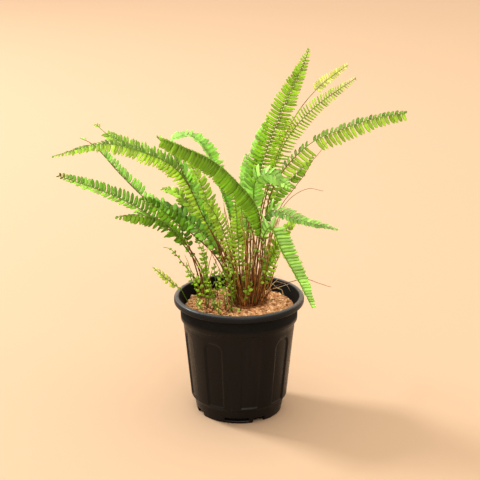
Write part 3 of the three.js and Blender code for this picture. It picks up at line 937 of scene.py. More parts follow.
@dataclass
class Pot:
    """A moulded nursery pot: rolled lip, plain band, tapering fluted wall, base ring and drain slots."""

    height: float = 0.140
    rim: float = 0.075
    lip_height: float = 0.0075
    lip_width: float = 0.006
    lip_fillets: Pair = (0.0016, 0.0028)
    band: float = 0.0675
    band_bottom: float = 0.112
    shoulder: float = 0.065
    foot: float = 0.056
    ring: float = 0.053
    ring_top: float = 0.0185
    base: float = 0.050
    base_fillet: float = 0.0012
    wall: float = 0.0018
    floor: float = 0.0025
    flutes: int = 9
    first_flute: float = 12.0
    flute_half: float = 9.0
    flute_edge: float = 1.6
    flute_depth: float = 0.0015
    flute_arch: float = 0.009
    flute_bottom: float = 0.020
    flute_top: float = 0.1015
    around: int = 360
    drains: tuple[Drain, ...] = (
        Drain(27.0, 0.016, -0.006, 0.006),
        Drain(-3.0, 0.028, 0.0035, 0.007, 0.006, 1.0),
    )

    def wall_radius(self, z: Array | float) -> Any:
        """The wall's taper, straight from the foot to the shoulder."""
        share = (z - self.ring_top) / (self.band_bottom - self.ring_top)
        return self.foot + (self.shoulder - self.foot) * share

    def inner_radius(self, z: float) -> float:
        """Radius of the smooth inside at a height.

        Args:
            z: the height.

        Returns:
            The radius.
        """
        if z >= self.band_bottom:
            return self.band - self.wall - self.flute_depth
        if z >= self.ring_top:
            return float(self.wall_radius(z)) - self.wall - self.flute_depth
        return self.base + (self.ring - self.base) * z / self.ring_top - self.wall

    def profile(self) -> Array:
        """Radius and height round the whole section, from the foot up the outside and down the inside.

        Straight runs have many rows so that the flutes can shape them. The lip is an arc, taken as
        points on a rounded rectangle.
        """
        fillet = self.base_fillet
        turn = np.linspace(-math.pi / 2, 0, 5)
        foot = np.stack([self.base - fillet + fillet * np.cos(turn), fillet + fillet * np.sin(turn)], axis=-1)
        ring_z = np.linspace(0.004, self.ring_top - 0.0008, 5)
        ring = np.stack([self.base + (self.ring - self.base) * ring_z / self.ring_top, ring_z], axis=-1)
        step = np.array([[self.ring + 0.0008, self.ring_top - 0.0002], [self.foot - 0.001, self.ring_top],
                         [self.foot - 0.0002, self.ring_top + 0.0006]])
        wall_z = np.concatenate([
            np.linspace(self.flute_bottom, self.flute_bottom + 0.004, 5),
            np.linspace(self.flute_bottom + 0.010, self.flute_top - 0.014, 8),
            np.linspace(self.flute_top - 0.010, self.flute_top, 9),
            [self.flute_top + 0.004, self.band_bottom - 0.0006],
        ])
        wall = np.stack([self.wall_radius(wall_z), wall_z], axis=-1)
        start, end = self.band_bottom, self.height - self.lip_height
        band = np.array([
            [self.shoulder + 0.0003, start - 0.0001], [self.band - 0.0006, start + 0.0006],
            [self.band, start + 0.0014], [self.band + 0.0002, start + 0.01],
            [self.band + 0.0004, end - 0.001], [self.band + 0.0008, end],
        ])
        inside_z = [self.height - 0.012, start, start - 0.001, self.height / 2, self.ring_top + 0.001,
                    self.ring_top - 0.002, self.floor]
        inside = np.array([[self.inner_radius(z), z] for z in inside_z])
        return np.vstack([foot, ring, step, wall, band, self.rounded_lip(), inside])

    def rounded_lip(self) -> Array:
        """The lip's section: a rounded rectangle, as quarter circles at its three outer corners."""
        low, high = self.height - self.lip_height, self.height
        inner = self.rim - self.lip_width
        small, large = self.lip_fillets
        corners = [
            (self.rim - small, low + small, small, -90, 0),
            (self.rim - large, high - large, large, 0, 90),
            (inner + small, high - small, small, 90, 180),
        ]
        arcs = []
        for x, z, radius, start, end in corners:
            turn = np.radians(np.linspace(start, end, 7))
            arcs.append(np.stack([x + radius * np.cos(turn), z + radius * np.sin(turn)], axis=-1))
        return np.vstack(arcs)

    def sunk(self, angles: Array, z: Array) -> Array:
        """How deep the flutes are: full between two soft edges, narrower towards an arched top.

        Args:
            angles: degrees from -Y, (around,).
            z: heights, (rows,).

        Returns:
            Depths, (rows, around).
        """
        period = 360 / self.flutes
        local = (angles - self.first_flute + period / 2) % period - period / 2
        rise = np.clip((z - (self.flute_top - self.flute_arch)) / self.flute_arch, 0, 1)[:, None]
        half = self.flute_half * np.sqrt(np.clip(1 - rise**2, 0, 1)) * (1 - 0.1 * rise)
        side = np.clip((half + self.flute_edge - np.abs(local)[None]) / self.flute_edge, 0, 1)
        foot = np.clip((z - self.flute_bottom) / 0.002, 0, 1)[:, None]
        top = np.clip((self.flute_top - z) / 0.0015, 0, 1)[:, None]
        soft = side * side * (3 - 2 * side)
        return self.flute_depth * soft * foot * top

    def build(self, finishes: Finishes) -> None:
        """Turns the profile about Z, sinks the flutes and cuts the drains.

        Args:
            finishes: the materials.
        """
        rows = self.profile()
        angles = np.arange(self.around) * 360 / self.around
        outside = np.arange(len(rows)) < rows[:, 1].argmax()
        depth = self.sunk(angles, rows[:, 1]) * outside[:, None]
        radius = rows[:, :1] - depth
        turn = np.radians(angles)[None]
        height = np.broadcast_to(rows[:, 1:], radius.shape)
        rings = np.stack([radius * np.sin(turn), -radius * np.cos(turn), height], axis=-1)
        pot = Piece("pot_moulded").add(capped(rings)).build([finishes.pot])
        for drain in self.drains:
            for quarter in range(4):
                self.cut(pot, drain, math.radians(drain.first + 90 * quarter))
        ride(pot, "pot_plastic", "pot")

    def cut(self, pot: bpy.types.Object, drain: Drain, angle: float) -> None:
        """Cuts one opening with a box that may narrow upwards.

        Args:
            pot: the pot's object.
            drain: the opening's sizes.
            angle: radians from -Y to its middle.
        """
        corners = [(-1, -1), (1, -1), (1, 1), (-1, 1)]
        levels = [(drain.low, 1.0), (drain.high, drain.narrow)]
        along = np.array([[x * drain.width / 2 * part for x, _ in corners] for _, part in levels])
        out = self.base - np.array([[y * drain.reach for _, y in corners]] * 2)
        z = np.array([[level] * 4 for level, _ in levels])
        rings = np.stack([along * math.cos(angle) + out * math.sin(angle),
                          along * math.sin(angle) - out * math.cos(angle), z], axis=-1)
        tool = Piece("slot_tool").add(capped(rings)).build([])
        cut = pot.modifiers.new("slot", "BOOLEAN")
        cut.operation, cut.solver, cut.object = "DIFFERENCE", "EXACT", tool
        bpy.context.view_layer.update()
        whole = pot.evaluated_get(bpy.context.evaluated_depsgraph_get())
        cut_mesh = bpy.data.meshes.new_from_object(whole)
        pot.modifiers.clear()
        pot.data = cut_mesh
        cut_mesh.name = pot.name
        bpy.data.objects.remove(tool)


# -------- potting mix


@dataclass
class PottingMix:
    """Coir mix: an uneven bed with loose chips and fibres on it."""

    pot: Pot
    top: float = 0.126
    gap: float = 0.0006
    chips: int = 6400
    fibres: int = 900
    chip_size: float = 0.00058
    chip_reach: float = 0.0615
    fibre_reach: float = 0.058
    # A painted shadow of the fronds on the mix, darkest round this spot.
    painted_shadow_spot: Pair = (-0.028, -0.012)
    painted_shadow_reach: float = 0.025
    painted_shadow_depth: float = 0.38
    seed: int = 5

    def surface(self, x: Array, y: Array) -> Array:
        """Height of the bed: lumps a few millimetres wide on a low swell.

        Args:
            x: places across.
            y: places front to back.

        Returns:
            The heights.
        """
        spots = np.stack([x, y, np.zeros_like(x)], axis=-1)
        swell = 0.0008 * waves(spots, 0.045, self.seed, 2)
        lumps = 0.0007 * waves(spots, 0.009, self.seed + 1, 3)
        return self.top - 0.0003 + swell + lumps

    def painted_shadow(self, x: Array, y: Array) -> Array:
        """How much a patch of painted shadow from the fronds darkens a place: a bell curve round its middle.
        """
        off = np.hypot(x - self.painted_shadow_spot[0], y - self.painted_shadow_spot[1]) / self.painted_shadow_reach
        return self.painted_shadow_depth * np.exp(-(off**2))

    def bed(self) -> Patch:
        """The bed: rings out from the middle over the uneven top, then down inside the wall to the floor."""
        outer = self.pot.inner_radius(self.top) - self.gap
        around = 180
        turn = turns(around)
        levels = [self.top - 0.0025, self.pot.band_bottom + 0.0003, self.pot.band_bottom - 0.001,
                  self.pot.ring_top + 0.001, self.pot.ring_top - 0.002, self.pot.floor + 0.0003]
        sides = [(self.pot.inner_radius(z) - self.gap - 0.0003, z) for z in levels]
        low = [(r * np.sin(turn), -r * np.cos(turn), np.full(around, z)) for r, z in reversed(sides)]
        reach = np.linspace(outer, 0.0015, 64)
        top = []
        for r in reach:
            x, y = r * np.sin(turn), -r * np.cos(turn)
            top.append((x, y, self.surface(x, y)))
        rings = np.array(low + top).transpose(0, 2, 1)
        cloud = waves(rings, 0.006, self.seed + 2, 3)
        grain = 0.30 + 0.22 * cloud - self.painted_shadow(rings[..., 0], rings[..., 1])
        # Painted shade: the bed's sides, down inside the pot, take the darkest colour.
        grain[:len(low) - 1] = -0.4
        return capped(rings, {"grain": grain})

    def scatter(self, count: int, reach: float, rng: Draws) -> Array:
        """Random places on the bed, evenly over its area.

        Args:
            count: number of places.
            reach: distance of the furthest.
            rng: the random numbers.

        Returns:
            The places, (N, 3).
        """
        out, share = disc(count, rng)
        x, y, _ = (out * (reach * share)[:, None]).T
        return np.stack([x, y, self.surface(x, y)], axis=-1)

    def crumbs(self) -> Patch:
        """Chips: boxes of eight jittered corners, turned at random and half sunk in the bed."""
        rng = np.random.default_rng(self.seed)
        size = rng.lognormal(math.log(self.chip_size), 0.42, self.chips).clip(0.0003, 0.0018)
        spots = self.scatter(self.chips, self.chip_reach, rng)
        signs = np.array([[x, y, z] for z in (-1, 1) for x, y in ((-1, -1), (1, -1), (1, 1), (-1, 1))], float)
        sides = ((1.0, 2.2), (0.7, 1.1), (0.45, 0.8))
        stretch = np.stack([rng.uniform(*side, self.chips) for side in sides], axis=-1)
        corners = signs[None] * stretch[:, None] * (1 + rng.uniform(-0.3, 0.3, (self.chips, 8, 3)))
        across = unit(rng.normal(size=(self.chips, 3)) * np.array([1, 1, 0.45]))
        up = unit(rng.normal(size=(self.chips, 3)) * 0.35 + UP)
        side = unit(np.cross(up, across))
        axes = np.stack([np.cross(side, up), side, up], axis=1)
        points = spots[:, None] + np.einsum("nki,nij->nkj", corners * size[:, None, None], axes)
        quads = np.array([[0, 3, 2, 1], [4, 5, 6, 7], [0, 1, 5, 4], [1, 2, 6, 5], [2, 3, 7, 6], [3, 0, 4, 7]])
        grain = (rng.beta(2.2, 1.7, self.chips) - self.painted_shadow(spots[:, 0], spots[:, 1]))[:, None]
        return repeated(points, quads, np.zeros((0, 3), int), {"grain": grain})

    def threads(self) -> Patch:
        """Fibres: thin three-sided tubes along arcs that lie on the bed and rise at one end."""
        rng = np.random.default_rng(self.seed + 9)
        spots = self.scatter(self.fibres, self.fibre_reach, rng)
        heading = rng.uniform(0, FULL_TURN, self.fibres)
        length = rng.uniform(0.004, 0.016, self.fibres)
        bend = rng.uniform(-2.2, 2.2, self.fibres)
        share = np.linspace(0, 1, 7)
        angle = heading[:, None] + bend[:, None] * share
        stride = length[:, None] / 6
        x = spots[:, :1] + np.cumsum(np.cos(angle) * stride, axis=1)
        y = spots[:, 1:2] + np.cumsum(np.sin(angle) * stride, axis=1)
        inside = np.minimum(1, (self.chip_reach + 0.0003) / np.maximum(np.hypot(x, y), 1e-6))
        x, y = x * inside, y * inside
        rise = rng.uniform(0, 0.0026, self.fibres)[:, None] * share**2 + 0.0004
        line = np.stack([x, y, self.surface(x, y) + rise], axis=-1)
        across = np.stack([-np.sin(angle), np.cos(angle), np.zeros_like(angle)], axis=-1)
        radius = (rng.uniform(0.00009, 0.0002, self.fibres)[:, None] * (1 - 0.6 * share))[..., None, None]
        turn = turns(3)[:, None]
        circle = np.cos(turn) * across[:, :, None] + np.sin(turn) * UP
        grain = rng.uniform(0.2, 1, self.fibres)[:, None] - self.painted_shadow(x[:, :1], y[:, :1])
        return tubes(line[:, :, None] + radius * circle, {"grain": grain}, 1)

    def build(self, finishes: Finishes) -> None:
        """Builds the bed and what lies on it.

        Args:
            finishes: the materials.
        """
        bed = Piece("potting_bed").add(self.bed()).build([finishes.mix])
        ride(bed, "potting_mix", "potting_mix")
        loose = Piece("loose_coir").add(self.crumbs(), self.threads())
        ride(loose.build([finishes.mix, finishes.fibre], False), "potting_mix", "potting_mix")


# -------- crowns


ON_CROWN = 0.1306
ON_MIX = 0.1263


@dataclass
class Crown:
    """A rhizome crown: a low mound under papery scales, with the stubs of old stalks.

    Attributes:
        node: the CAD node that it stands for.
        centre: its middle on the mix.
        radii: its half sizes.
        scales: number of papery scales.
        stubs: number of cut stalks.
        seed: seed of its random numbers.
        base: height of its underside.
        height: how far it rises over that.
        edge: share of its half sizes inside which a stalk stands on it.
    """

    node: str
    centre: Pair
    radii: Pair
    scales: int
    stubs: int
    seed: int
    base: float = ON_MIX
    height: float = 0.004
    edge: float = 0.93

    def carries(self, foot: Pair) -> bool:
        """Whether a foot stands on the crown."""
        (x, y), (a, b) = self.centre, self.radii
        return math.hypot((foot[0] - x) / a, (foot[1] - y) / b) < self.edge

    def rise(self, r: Array) -> Array:
        """Height of the mound over its base at a share of its radius: a rounded dome."""
        return self.height * np.sqrt(np.clip(1 - 0.96 * r**2.4, 0, 1))

    def mound(self) -> Patch:
        """The mound: rings from under its edge in to the middle, with an uneven outline."""
        turn = turns(72)[None]
        r = np.concatenate([[0.6, 0.99], np.linspace(1, 0.02, 22)])[:, None]
        z = np.concatenate([[0, 0], self.rise(r[2:, 0])])[:, None] + self.base
        outline = 1 - 0.04 * (1 + np.sin(3 * turn + self.seed) * 0.6 + np.sin(7 * turn) * 0.4)
        x = self.centre[0] + self.radii[0] * r * outline * np.sin(turn)
        y = self.centre[1] - self.radii[1] * r * outline * np.cos(turn)
        rings = np.stack([x, y, np.broadcast_to(z, x.shape)], axis=-1)
        rough = waves(rings, 0.006, self.seed, 3)
        rings[2:, :, 2] += 0.0005 * rough[2:]
        return capped(rings, {"grain": 0.35 + 0.25 * rough})

    def spots(self, count: int, reach: float, rng: Draws) -> tuple[Array, Array]:
        """Random places on the mound and the way out from its middle at each.

        Args:
            count: number of places.
            reach: share of the mound that they keep to.
            rng: the random numbers.

        Returns:
            The places and the ways, each (N, 3).
        """
        out, share = disc(count, rng)
        r = reach * share
        flat = np.array([*self.centre, 0]) + out * r[:, None] * np.array([*self.radii, 0])
        return flat + UP * (self.base + self.rise(r))[:, None], out

    def papery(self) -> Patch:
        """Scales: narrow pointed blades, five rings of three corners each, that lean outwards."""
        rng = np.random.default_rng(self.seed)
        foot, out = self.spots(self.scales, 0.92, rng)
        lean = unit(out + rng.normal(size=foot.shape) * 0.5)
        length = rng.uniform(0.003, 0.0075, self.scales)[:, None]
        share = np.array([0, 0.3, 0.6, 0.85, 1.0])
        rise = rng.uniform(0.35, 1.3, self.scales)[:, None, None]
        flat = lean[:, None] * (share * 0.8)[:, None] + UP * rise * (share * 0.6 + 0.2 * share**2)[:, None]
        line = foot[:, None] - UP * 0.0006 + flat * length[:, None]
        across = unit(np.cross(UP, lean))[:, None]
        width = 0.0007 * np.array([0.8, 1, 0.75, 0.4, 0.06])[:, None]
        thick = np.cross(lean, across[:, 0])[:, None] * 0.00016
        ring = np.stack([line + across * width, line - across * width, line + thick], axis=2)
        return tubes(ring, {"grain": rng.uniform(0, 1, self.scales)[:, None]})

    def stumps(self) -> Patch:
        """Stubs: short six-sided stalks, cut off level."""
        rng = np.random.default_rng(self.seed + 1)
        foot, out = self.spots(self.stubs, 0.85, rng)
        lean = unit(out * rng.uniform(0.1, 0.6, self.stubs)[:, None] + UP)
        length = rng.uniform(0.003, 0.012, self.stubs)
        share = np.linspace(0, 1, 4)
        line = foot[:, None] + lean[:, None] * (share[None] * length[:, None] - 0.001)[..., None]
        across = unit(np.cross(lean, np.array([0.3, 1.0, 0.1])))
        other = np.cross(lean, across)
        turn = turns(6)[:, None]
        circle = np.cos(turn) * across[:, None] + np.sin(turn) * other[:, None]
        radius = rng.uniform(0.0006, 0.001, self.stubs)[:, None, None, None]
        points = line[:, :, None] + radius * circle[:, None]
        return tubes(points, {"green": np.zeros((self.stubs, 1))}, 1)

    def build(self, finishes: Finishes) -> None:
        """Builds the crown as one piece."""
        piece = Piece(self.node + "_scaly").add(self.mound(), self.papery(), self.stumps())
        ride(piece.build([finishes.scales, finishes.dry]), "crown", self.node)


CROWNS = [
    Crown("crown_main", (0.01, 0.012), (0.024, 0.025), 420, 46, 3),
    Crown("crown_left_offset", (-0.038, 0.029), (0.011, 0.009), 120, 10, 8),
]


def ground(foot: Pair) -> float:
    """The height at which a stalk starts: on a crown where there is one, else on the mix."""
    return ON_CROWN if any(crown.carries(foot) for crown in CROWNS) else ON_MIX


# -------- leaflets and fronds


@dataclass(frozen=True)
class LeafletForm:
    """The outline and body of a leaflet, as shares of its length or width.

    Attributes:
        tip_start: share of the length where the sides start to close.
        tip_power: how blunt the end is; larger is blunter.
        ear: how far the lobe at the foot of the forward margin stands out.
        teeth: depth of the scalloped margin.
        fold: how far the two halves are folded up, against the half width.
        thick: half thickness at the midrib, in metres.
        rings: shares of the length at which the outline is taken.
    """

    tip_start: float
    tip_power: float
    ear: float
    teeth: float
    fold: float
    thick: float = 0.00014
    rings: tuple[float, ...] = (0.0, 0.05, 0.14, 0.30, 0.48, 0.66, 0.82, 0.94)

    def outline(self, forward: bool) -> Array:
        """Half width at each ring against the widest.

        The side opens at once from its little stalk, runs nearly straight, and closes on a
        superellipse. The forward side has the ear, a bell curve near the foot.

        Args:
            forward: whether it is the side towards the frond's tip.

        Returns:
            One number per ring.
        """
        u = np.array(self.rings)
        opening = 0.16 + 0.84 * (1 - np.exp(-u / 0.035))
        past = np.clip((u - self.tip_start) / (1 - self.tip_start), 0, 1)
        closing = (1 - past**self.tip_power) ** (1 / 1.7)
        teeth = 1 + self.teeth * np.where(np.arange(len(u)) % 2 == 0, 1, -1) * (u > 0.2)
        ear = 1 + (self.ear if forward else -0.25 * self.ear) * np.exp(-(((u - 0.1) / 0.09) ** 2))
        return opening * closing * teeth * ear


class Form(Enum):
    """The two forms of leaflet on the plant."""

    SWORD = LeafletForm(0.45, 2.4, 0.45, 0.03, 0.10)
    ROUND = LeafletForm(0.10, 2.4, 0.15, 0.06, 0.18)


STRAY_PITCH = 0.0075
LIFT_WILD, ROLL_WILD = 7.0, 9.0
LEAN_WILD, LENGTH_WILD, DROOP_WILD, DEEP_WILD = 0.05, 0.06, 0.06, 0.12


@dataclass
class Frond:
    """One frond or young shoot: a stalk with a row of leaflets down each side.

    Attributes:
        node: the CAD node that it stands for.
        foot: where it leaves its crown or the mix.
        route: the places that its midrib passes through.
        face: the way its upper side looks.
        tone: its leaf colour.
        leaf: its longest leaflet.
        bare: share of its length that is bare stalk.
        lift: degrees by which the rows rise (+) or hang (-); right-hand row first.
        pitch: distance between neighbours in a row.
        fill: width of a leaflet against the pitch.
        roll: degrees by which a leaflet's forward edge is turned up.
        droop: how far a leaflet's end bends down, against its length.
        sweep: how far its end curves towards the frond's tip, against its length.
        lean: how far it points towards the tip; right-hand row first.
        second: length of the left-hand row against the right-hand one.
        brown: share of the stalk's length that is brown.
        young: how fresh the leaflets are at the foot and at the tip of the blade, 0 to 1.
        withered: share of the blade at the tip that is withered.
        strays: share of the bare stalk that carries a few small round leaflets.
        form: outline of the leaflets.
        jitter: how irregular the leaflets are.
        stalk: radius of the stalk at its foot and at its tip.
        twist: degrees by which the face turns from the foot of the blade to its tip.
        crowd: how much closer the leaflets stand towards the tip.
        taper: how much shorter the last leaflet is than the longest, 0 to 1.
        widest: share of the blade from which it narrows.
        deep: how much painted shade darkens the leaflets of the two rows, 0 to 1; right-hand row first.
        gaps: shares of the blade, start and end, that have lost their leaflets.
    """

    node: str
    foot: Vec
    route: Sequence[Vec]
    face: Vec
    tone: Tone
    leaf: float
    bare: float
    lift: Pair = (0.0, 0.0)
    pitch: float = 0.0058
    fill: float = 0.80
    roll: float = 14.0
    droop: float = 0.12
    sweep: float = 0.10
    lean: Pair = (0.28, 0.28)
    second: float = 1.0
    brown: float = 0.45
    young: Pair = (0.1, 0.75)
    withered: float = 0.0
    strays: float = 0.35
    form: Form = Form.SWORD
    jitter: float = 1.0
    stalk: Pair = (0.00095, 0.00034)
    twist: float = 0.0
    crowd: float = 0.16
    taper: float = 0.85
    widest: float = 0.5
    deep: Pair = (0.0, 0.0)
    gaps: tuple[Pair, ...] = ()

    def curve(self) -> Route:
        """The midrib's curve, from the foot."""
        return Route([self.foot, *self.route])

    def axes(self, curve: Route, shares: Array) -> tuple[Array, Array, Array]:
        """Axes along the midrib, turned about it by the twist.

        Args:
            curve: the midrib.
            shares: shares of its length.

        Returns:
            t along it, s towards the right-hand row and n out of the face.
        """
        t, s, n = curve.axes(shares, self.face)
        turn = np.radians(self.twist) * np.clip((shares - self.bare) / (1 - self.bare), 0, 1)[:, None]
        return t, s * np.cos(turn) + n * np.sin(turn), n * np.cos(turn) - s * np.sin(turn)

    def size(self, share: Array) -> Array:
        """Length of a leaflet against the longest, which stands in the middle of the blade.

        Args:
            share: shares of the blade.

        Returns:
            Lengths from 0 to 1.
        """
        opening = np.minimum(1, 0.42 + 1.9 * share)
        closing = 1 - self.taper * (np.clip(share - self.widest, 0, 1) / (1 - self.widest)) ** 1.7
        return opening * closing

    def stem(self, curve: Route) -> Patch:
        """The stalk: a tapering seven-sided tube, sunk a little at its foot.

        Args:
            curve: the midrib.

        Returns:
            The tube.
        """
        shares = np.linspace(0, 1, 64)
        t, s, n = self.axes(curve, shares)
        places = curve.at(shares)
        places[0] -= t[0] * 0.0015
        radii = self.stalk[0] + (self.stalk[1] - self.stalk[0]) * shares**0.8
        radii *= 1 + 0.48 * np.exp(-shares / 0.02)
        green = np.clip((shares - self.brown) / 0.18 + 0.5, 0, 1)
        return tube(places, s, n, radii, 7, {"green": green})

    def rows(self, rng: Draws) -> tuple[Array, Array, Array]:
        """Where the leaflets stand.

        Neighbours stand closer towards the tip, and the two rows alternate.

        Args:
            rng: the frond's random numbers.

        Returns:
            For each leaflet: share of the midrib, share of the blade, and side +1 or -1.
        """
        blade = self.curve().length * (1 - self.bare)
        count = max(3, round(blade / self.pitch))
        place = (np.arange(count)[None] + np.array([[0.25], [0.75]])) / count
        place = place + rng.uniform(-0.12, 0.12, place.shape) * self.jitter / count
        place = np.clip(place * (1 + self.crowd * (1 - place)), 0, 0.995)
        side = np.broadcast_to(np.array([[1.0], [-1.0]]), place.shape).ravel()
        place = place.ravel()
        kept = np.ones(len(place), bool)
        for start, end in self.gaps:
            kept &= (place < start) | (place > end)
        return (self.bare + (1 - self.bare) * place)[kept], place[kept], side[kept]

    def leaflets(self, curve: Route, rng: Draws) -> Patch:
        """Both rows of leaflets and the single one that ends the frond.

        Args:
            curve: the midrib.
            rng: the frond's random numbers.

        Returns:
            All leaflets as one patch.
        """
        along, blade, side = self.rows(rng)
        length = self.leaf * self.size(blade)
        half = 0.5 * self.pitch * self.fill * np.clip(length / (0.5 * self.leaf), 0.55, 1)
        if self.form is Form.ROUND:
            half = length * 0.42
        return self.grow(curve, along, blade, side, length, half, rng)

    def stray_leaflets(self, curve: Route, rng: Draws) -> list[Patch]:
        """A few small leaflets, wide apart, on the stalk under the blade.

        Args:
            curve: the midrib.
            rng: the frond's random numbers.

        Returns:
            One patch, or none.
        """
        start, end = self.bare * (1 - self.strays), self.bare * 0.98
        count = int(curve.length * (end - start) / STRAY_PITCH)
        if not self.strays or count < 1:
            return []
        along = np.sort(rng.uniform(start, end, count))
        side = np.where(np.arange(count) % 2 == 0, 1.0, -1.0)
        length = np.minimum(self.leaf * 0.6, 0.0052) * rng.uniform(0.5, 1.0, count)
        return [self.grow(curve, along, np.zeros(count), side, length, length * 0.36, rng)]

    def grow(self, curve: Route, along: Array, blade: Array, side: Array, length: Array,
             half: Array, rng: Draws) -> Patch:
        """Leaflets at given places.

        Each is a thin closed lens: rings of six corners round a bent middle line, and a point. The
        corners are the two edges, three on the upper side and one below.

        Args:
            curve: the midrib.
            along: share of the midrib at each leaflet.
            blade: share of the blade.
            side: +1 or -1.
            length: each leaflet's length.
            half: each leaflet's half width.
            rng: the frond's random numbers.

        Returns:
            The leaflets as one patch.
        """
        count = len(along)
        form: LeafletForm = self.form.value
        wild = rng.normal(size=(5, count)) * self.jitter
        t, s, n = self.axes(curve, along)
        lift = np.radians(np.where(side > 0, *self.lift) + LIFT_WILD * wild[0])[:, None]
        heading = side[:, None] * s * np.cos(lift) + n * np.sin(lift)
        lean = np.where(side > 0, *self.lean) + 0.3 * blade**3 + LEAN_WILD * wild[1]
        d = unit(heading + t * lean[:, None])
        w = unit(t - np.sum(t * d, axis=-1, keepdims=True) * d)
        up = np.cross(d, w) * side[:, None]
        roll = np.radians(self.roll + ROLL_WILD * wild[2])[:, None]
        w, up = w * np.cos(roll) + up * np.sin(roll), up * np.cos(roll) - w * np.sin(roll)
        length = length * (1 + LENGTH_WILD * wild[3]) * np.where(side > 0, 1, self.second)
        u = np.array([*form.rings, 1.0])
        bend = (self.droop + DROOP_WILD * wild[4])[:, None] * u**2
        bow = self.sweep * u**2
        stride = d[:, None] * u[:, None] + w[:, None] * bow[:, None] - up[:, None] * bend[..., None]
        root = curve.at(along) + d * 0.0003
        line = root[:, None] + stride * length[:, None, None]
        ahead, behind = form.outline(True), form.outline(False)
        plus = np.where(side[:, None] > 0, ahead, behind) * half[:, None]
        minus = np.where(side[:, None] > 0, behind, ahead) * half[:, None]
        cross = w[:, None] * side[:, None, None]
        over = up[:, None]
        body = line[:, :-1]
        thick = form.thick * np.linspace(1, 0.6, len(form.rings))[None, :, None]

        def corner(reach: Array, height: float) -> Array:
            """A corner at a distance across, folded up by that distance, at a height over the middle."""
            folded = form.fold * np.abs(reach)
            return body + cross * reach[..., None] + over * (folded[..., None] + height * thick)

        ring = np.stack([
            corner(plus, 0.0), corner(plus * 0.5, 0.75), corner(plus * 0, 0.5),
            corner(-minus * 0.5, 0.75), corner(-minus, 0.0), corner(plus * 0, -1.0),
        ], axis=2)
        points = np.concatenate([ring.reshape(count, -1, 3), line[:, -1:]], axis=1)
        rings = len(form.rings)
        tip = rings * 6
        last = tip - 6
        quads = np.vstack([ring_quads(rings, 6), [[3, 2, 1, 0], [5, 4, 3, 0]]])
        fan = np.array([[tip, last + i, last + (i + 1) % 6] for i in range(6)])
        across = np.array([1, 0.5, 0, -0.5, -1, 0])
        marks = {
            "reach": np.append(np.repeat(form.rings, 6), 1.0)[None],
            "across": np.append(np.tile(across, rings), 0)[None] * side[:, None],
            "under": np.append(np.tile([0.4, 0, 0, 0, 0.4, 1], rings), 0)[None],
            "leaflet": rng.uniform(0, 1, count)[:, None],
            "young": (self.young[0] + (self.young[1] - self.young[0]) * blade**2)[:, None],
            # painted shade of each row
            "deep": np.clip(np.where(side > 0, *self.deep) + DEEP_WILD * wild[1], 0, 1)[:, None],
            "withered": np.clip((blade - 1 + self.withered) / max(self.withered, 1e-3), 0, 1)[:, None],
        }
        return repeated(points, quads, fan, marks, 1)

    def build(self, finishes: Finishes, seed: int) -> None:
        """Builds the frond as one piece.

        Args:
            finishes: the materials.
            seed: seed of its random numbers.
        """
        rng = np.random.default_rng(seed)
        curve = self.curve()
        piece = Piece(self.node + "_grown").add(self.stem(curve), self.leaflets(curve, rng))
        piece.add(*self.stray_leaflets(curve, rng))
        ride(piece.build([finishes.stalk, finishes.leaves[self.tone]]), self.tone.value, self.node)


def frond(node: str, foot: Pair, route: Sequence[Vec], face: Vec, tone: Tone, **sizes: Any) -> Frond:
    """A frond whose lengths and places are given in millimetres.

    Args:
        node: the CAD node that it stands for.
        foot: where it leaves a crown or the mix.
        route: the places that it passes through.
        face: the way its upper side looks.
        tone: its leaf colour.
        sizes: the other fields.

    Returns:
        The frond, in metres.
    """
    place = metres(foot)
    sizes |= {name: metres(sizes[name]) for name in ("leaf", "pitch", "stalk") if name in sizes}
    return Frond(node, (*place, ground(place)), metres(route), face, tone, **sizes)


LEAF_GROWN = 0.72


def shoot(node: str, foot: Pair, route: Sequence[Vec], face: Vec, tone: Tone, leaf: float, bare: float,
          **sizes: Any) -> Frond:
    """A young shoot: a thin stalk with small round leaflets, wide apart and irregular.

    Args:
        node: the CAD node that it stands for.
        foot: where it leaves a crown or the mix.
        route: the places that it passes through.
        face: the way its upper side looks.
        tone: its leaf colour.
        leaf: its longest leaflet, when that has grown to its full size.
        bare: share that is bare stalk.
        sizes: other fields that differ from the usual shoot's.

    Returns:
        The shoot, in metres.
    """
    usual = {"pitch": 6.8, "form": Form.ROUND, "jitter": 2.4, "roll": 0.0, "droop": 0.1, "brown": 0.3,
             "stalk": (0.62, 0.3), "young": (0.2, 0.6), "strays": 0.6}
    return frond(node, foot, route, face, tone, leaf=leaf * LEAF_GROWN, bare=bare, **(usual | sizes))


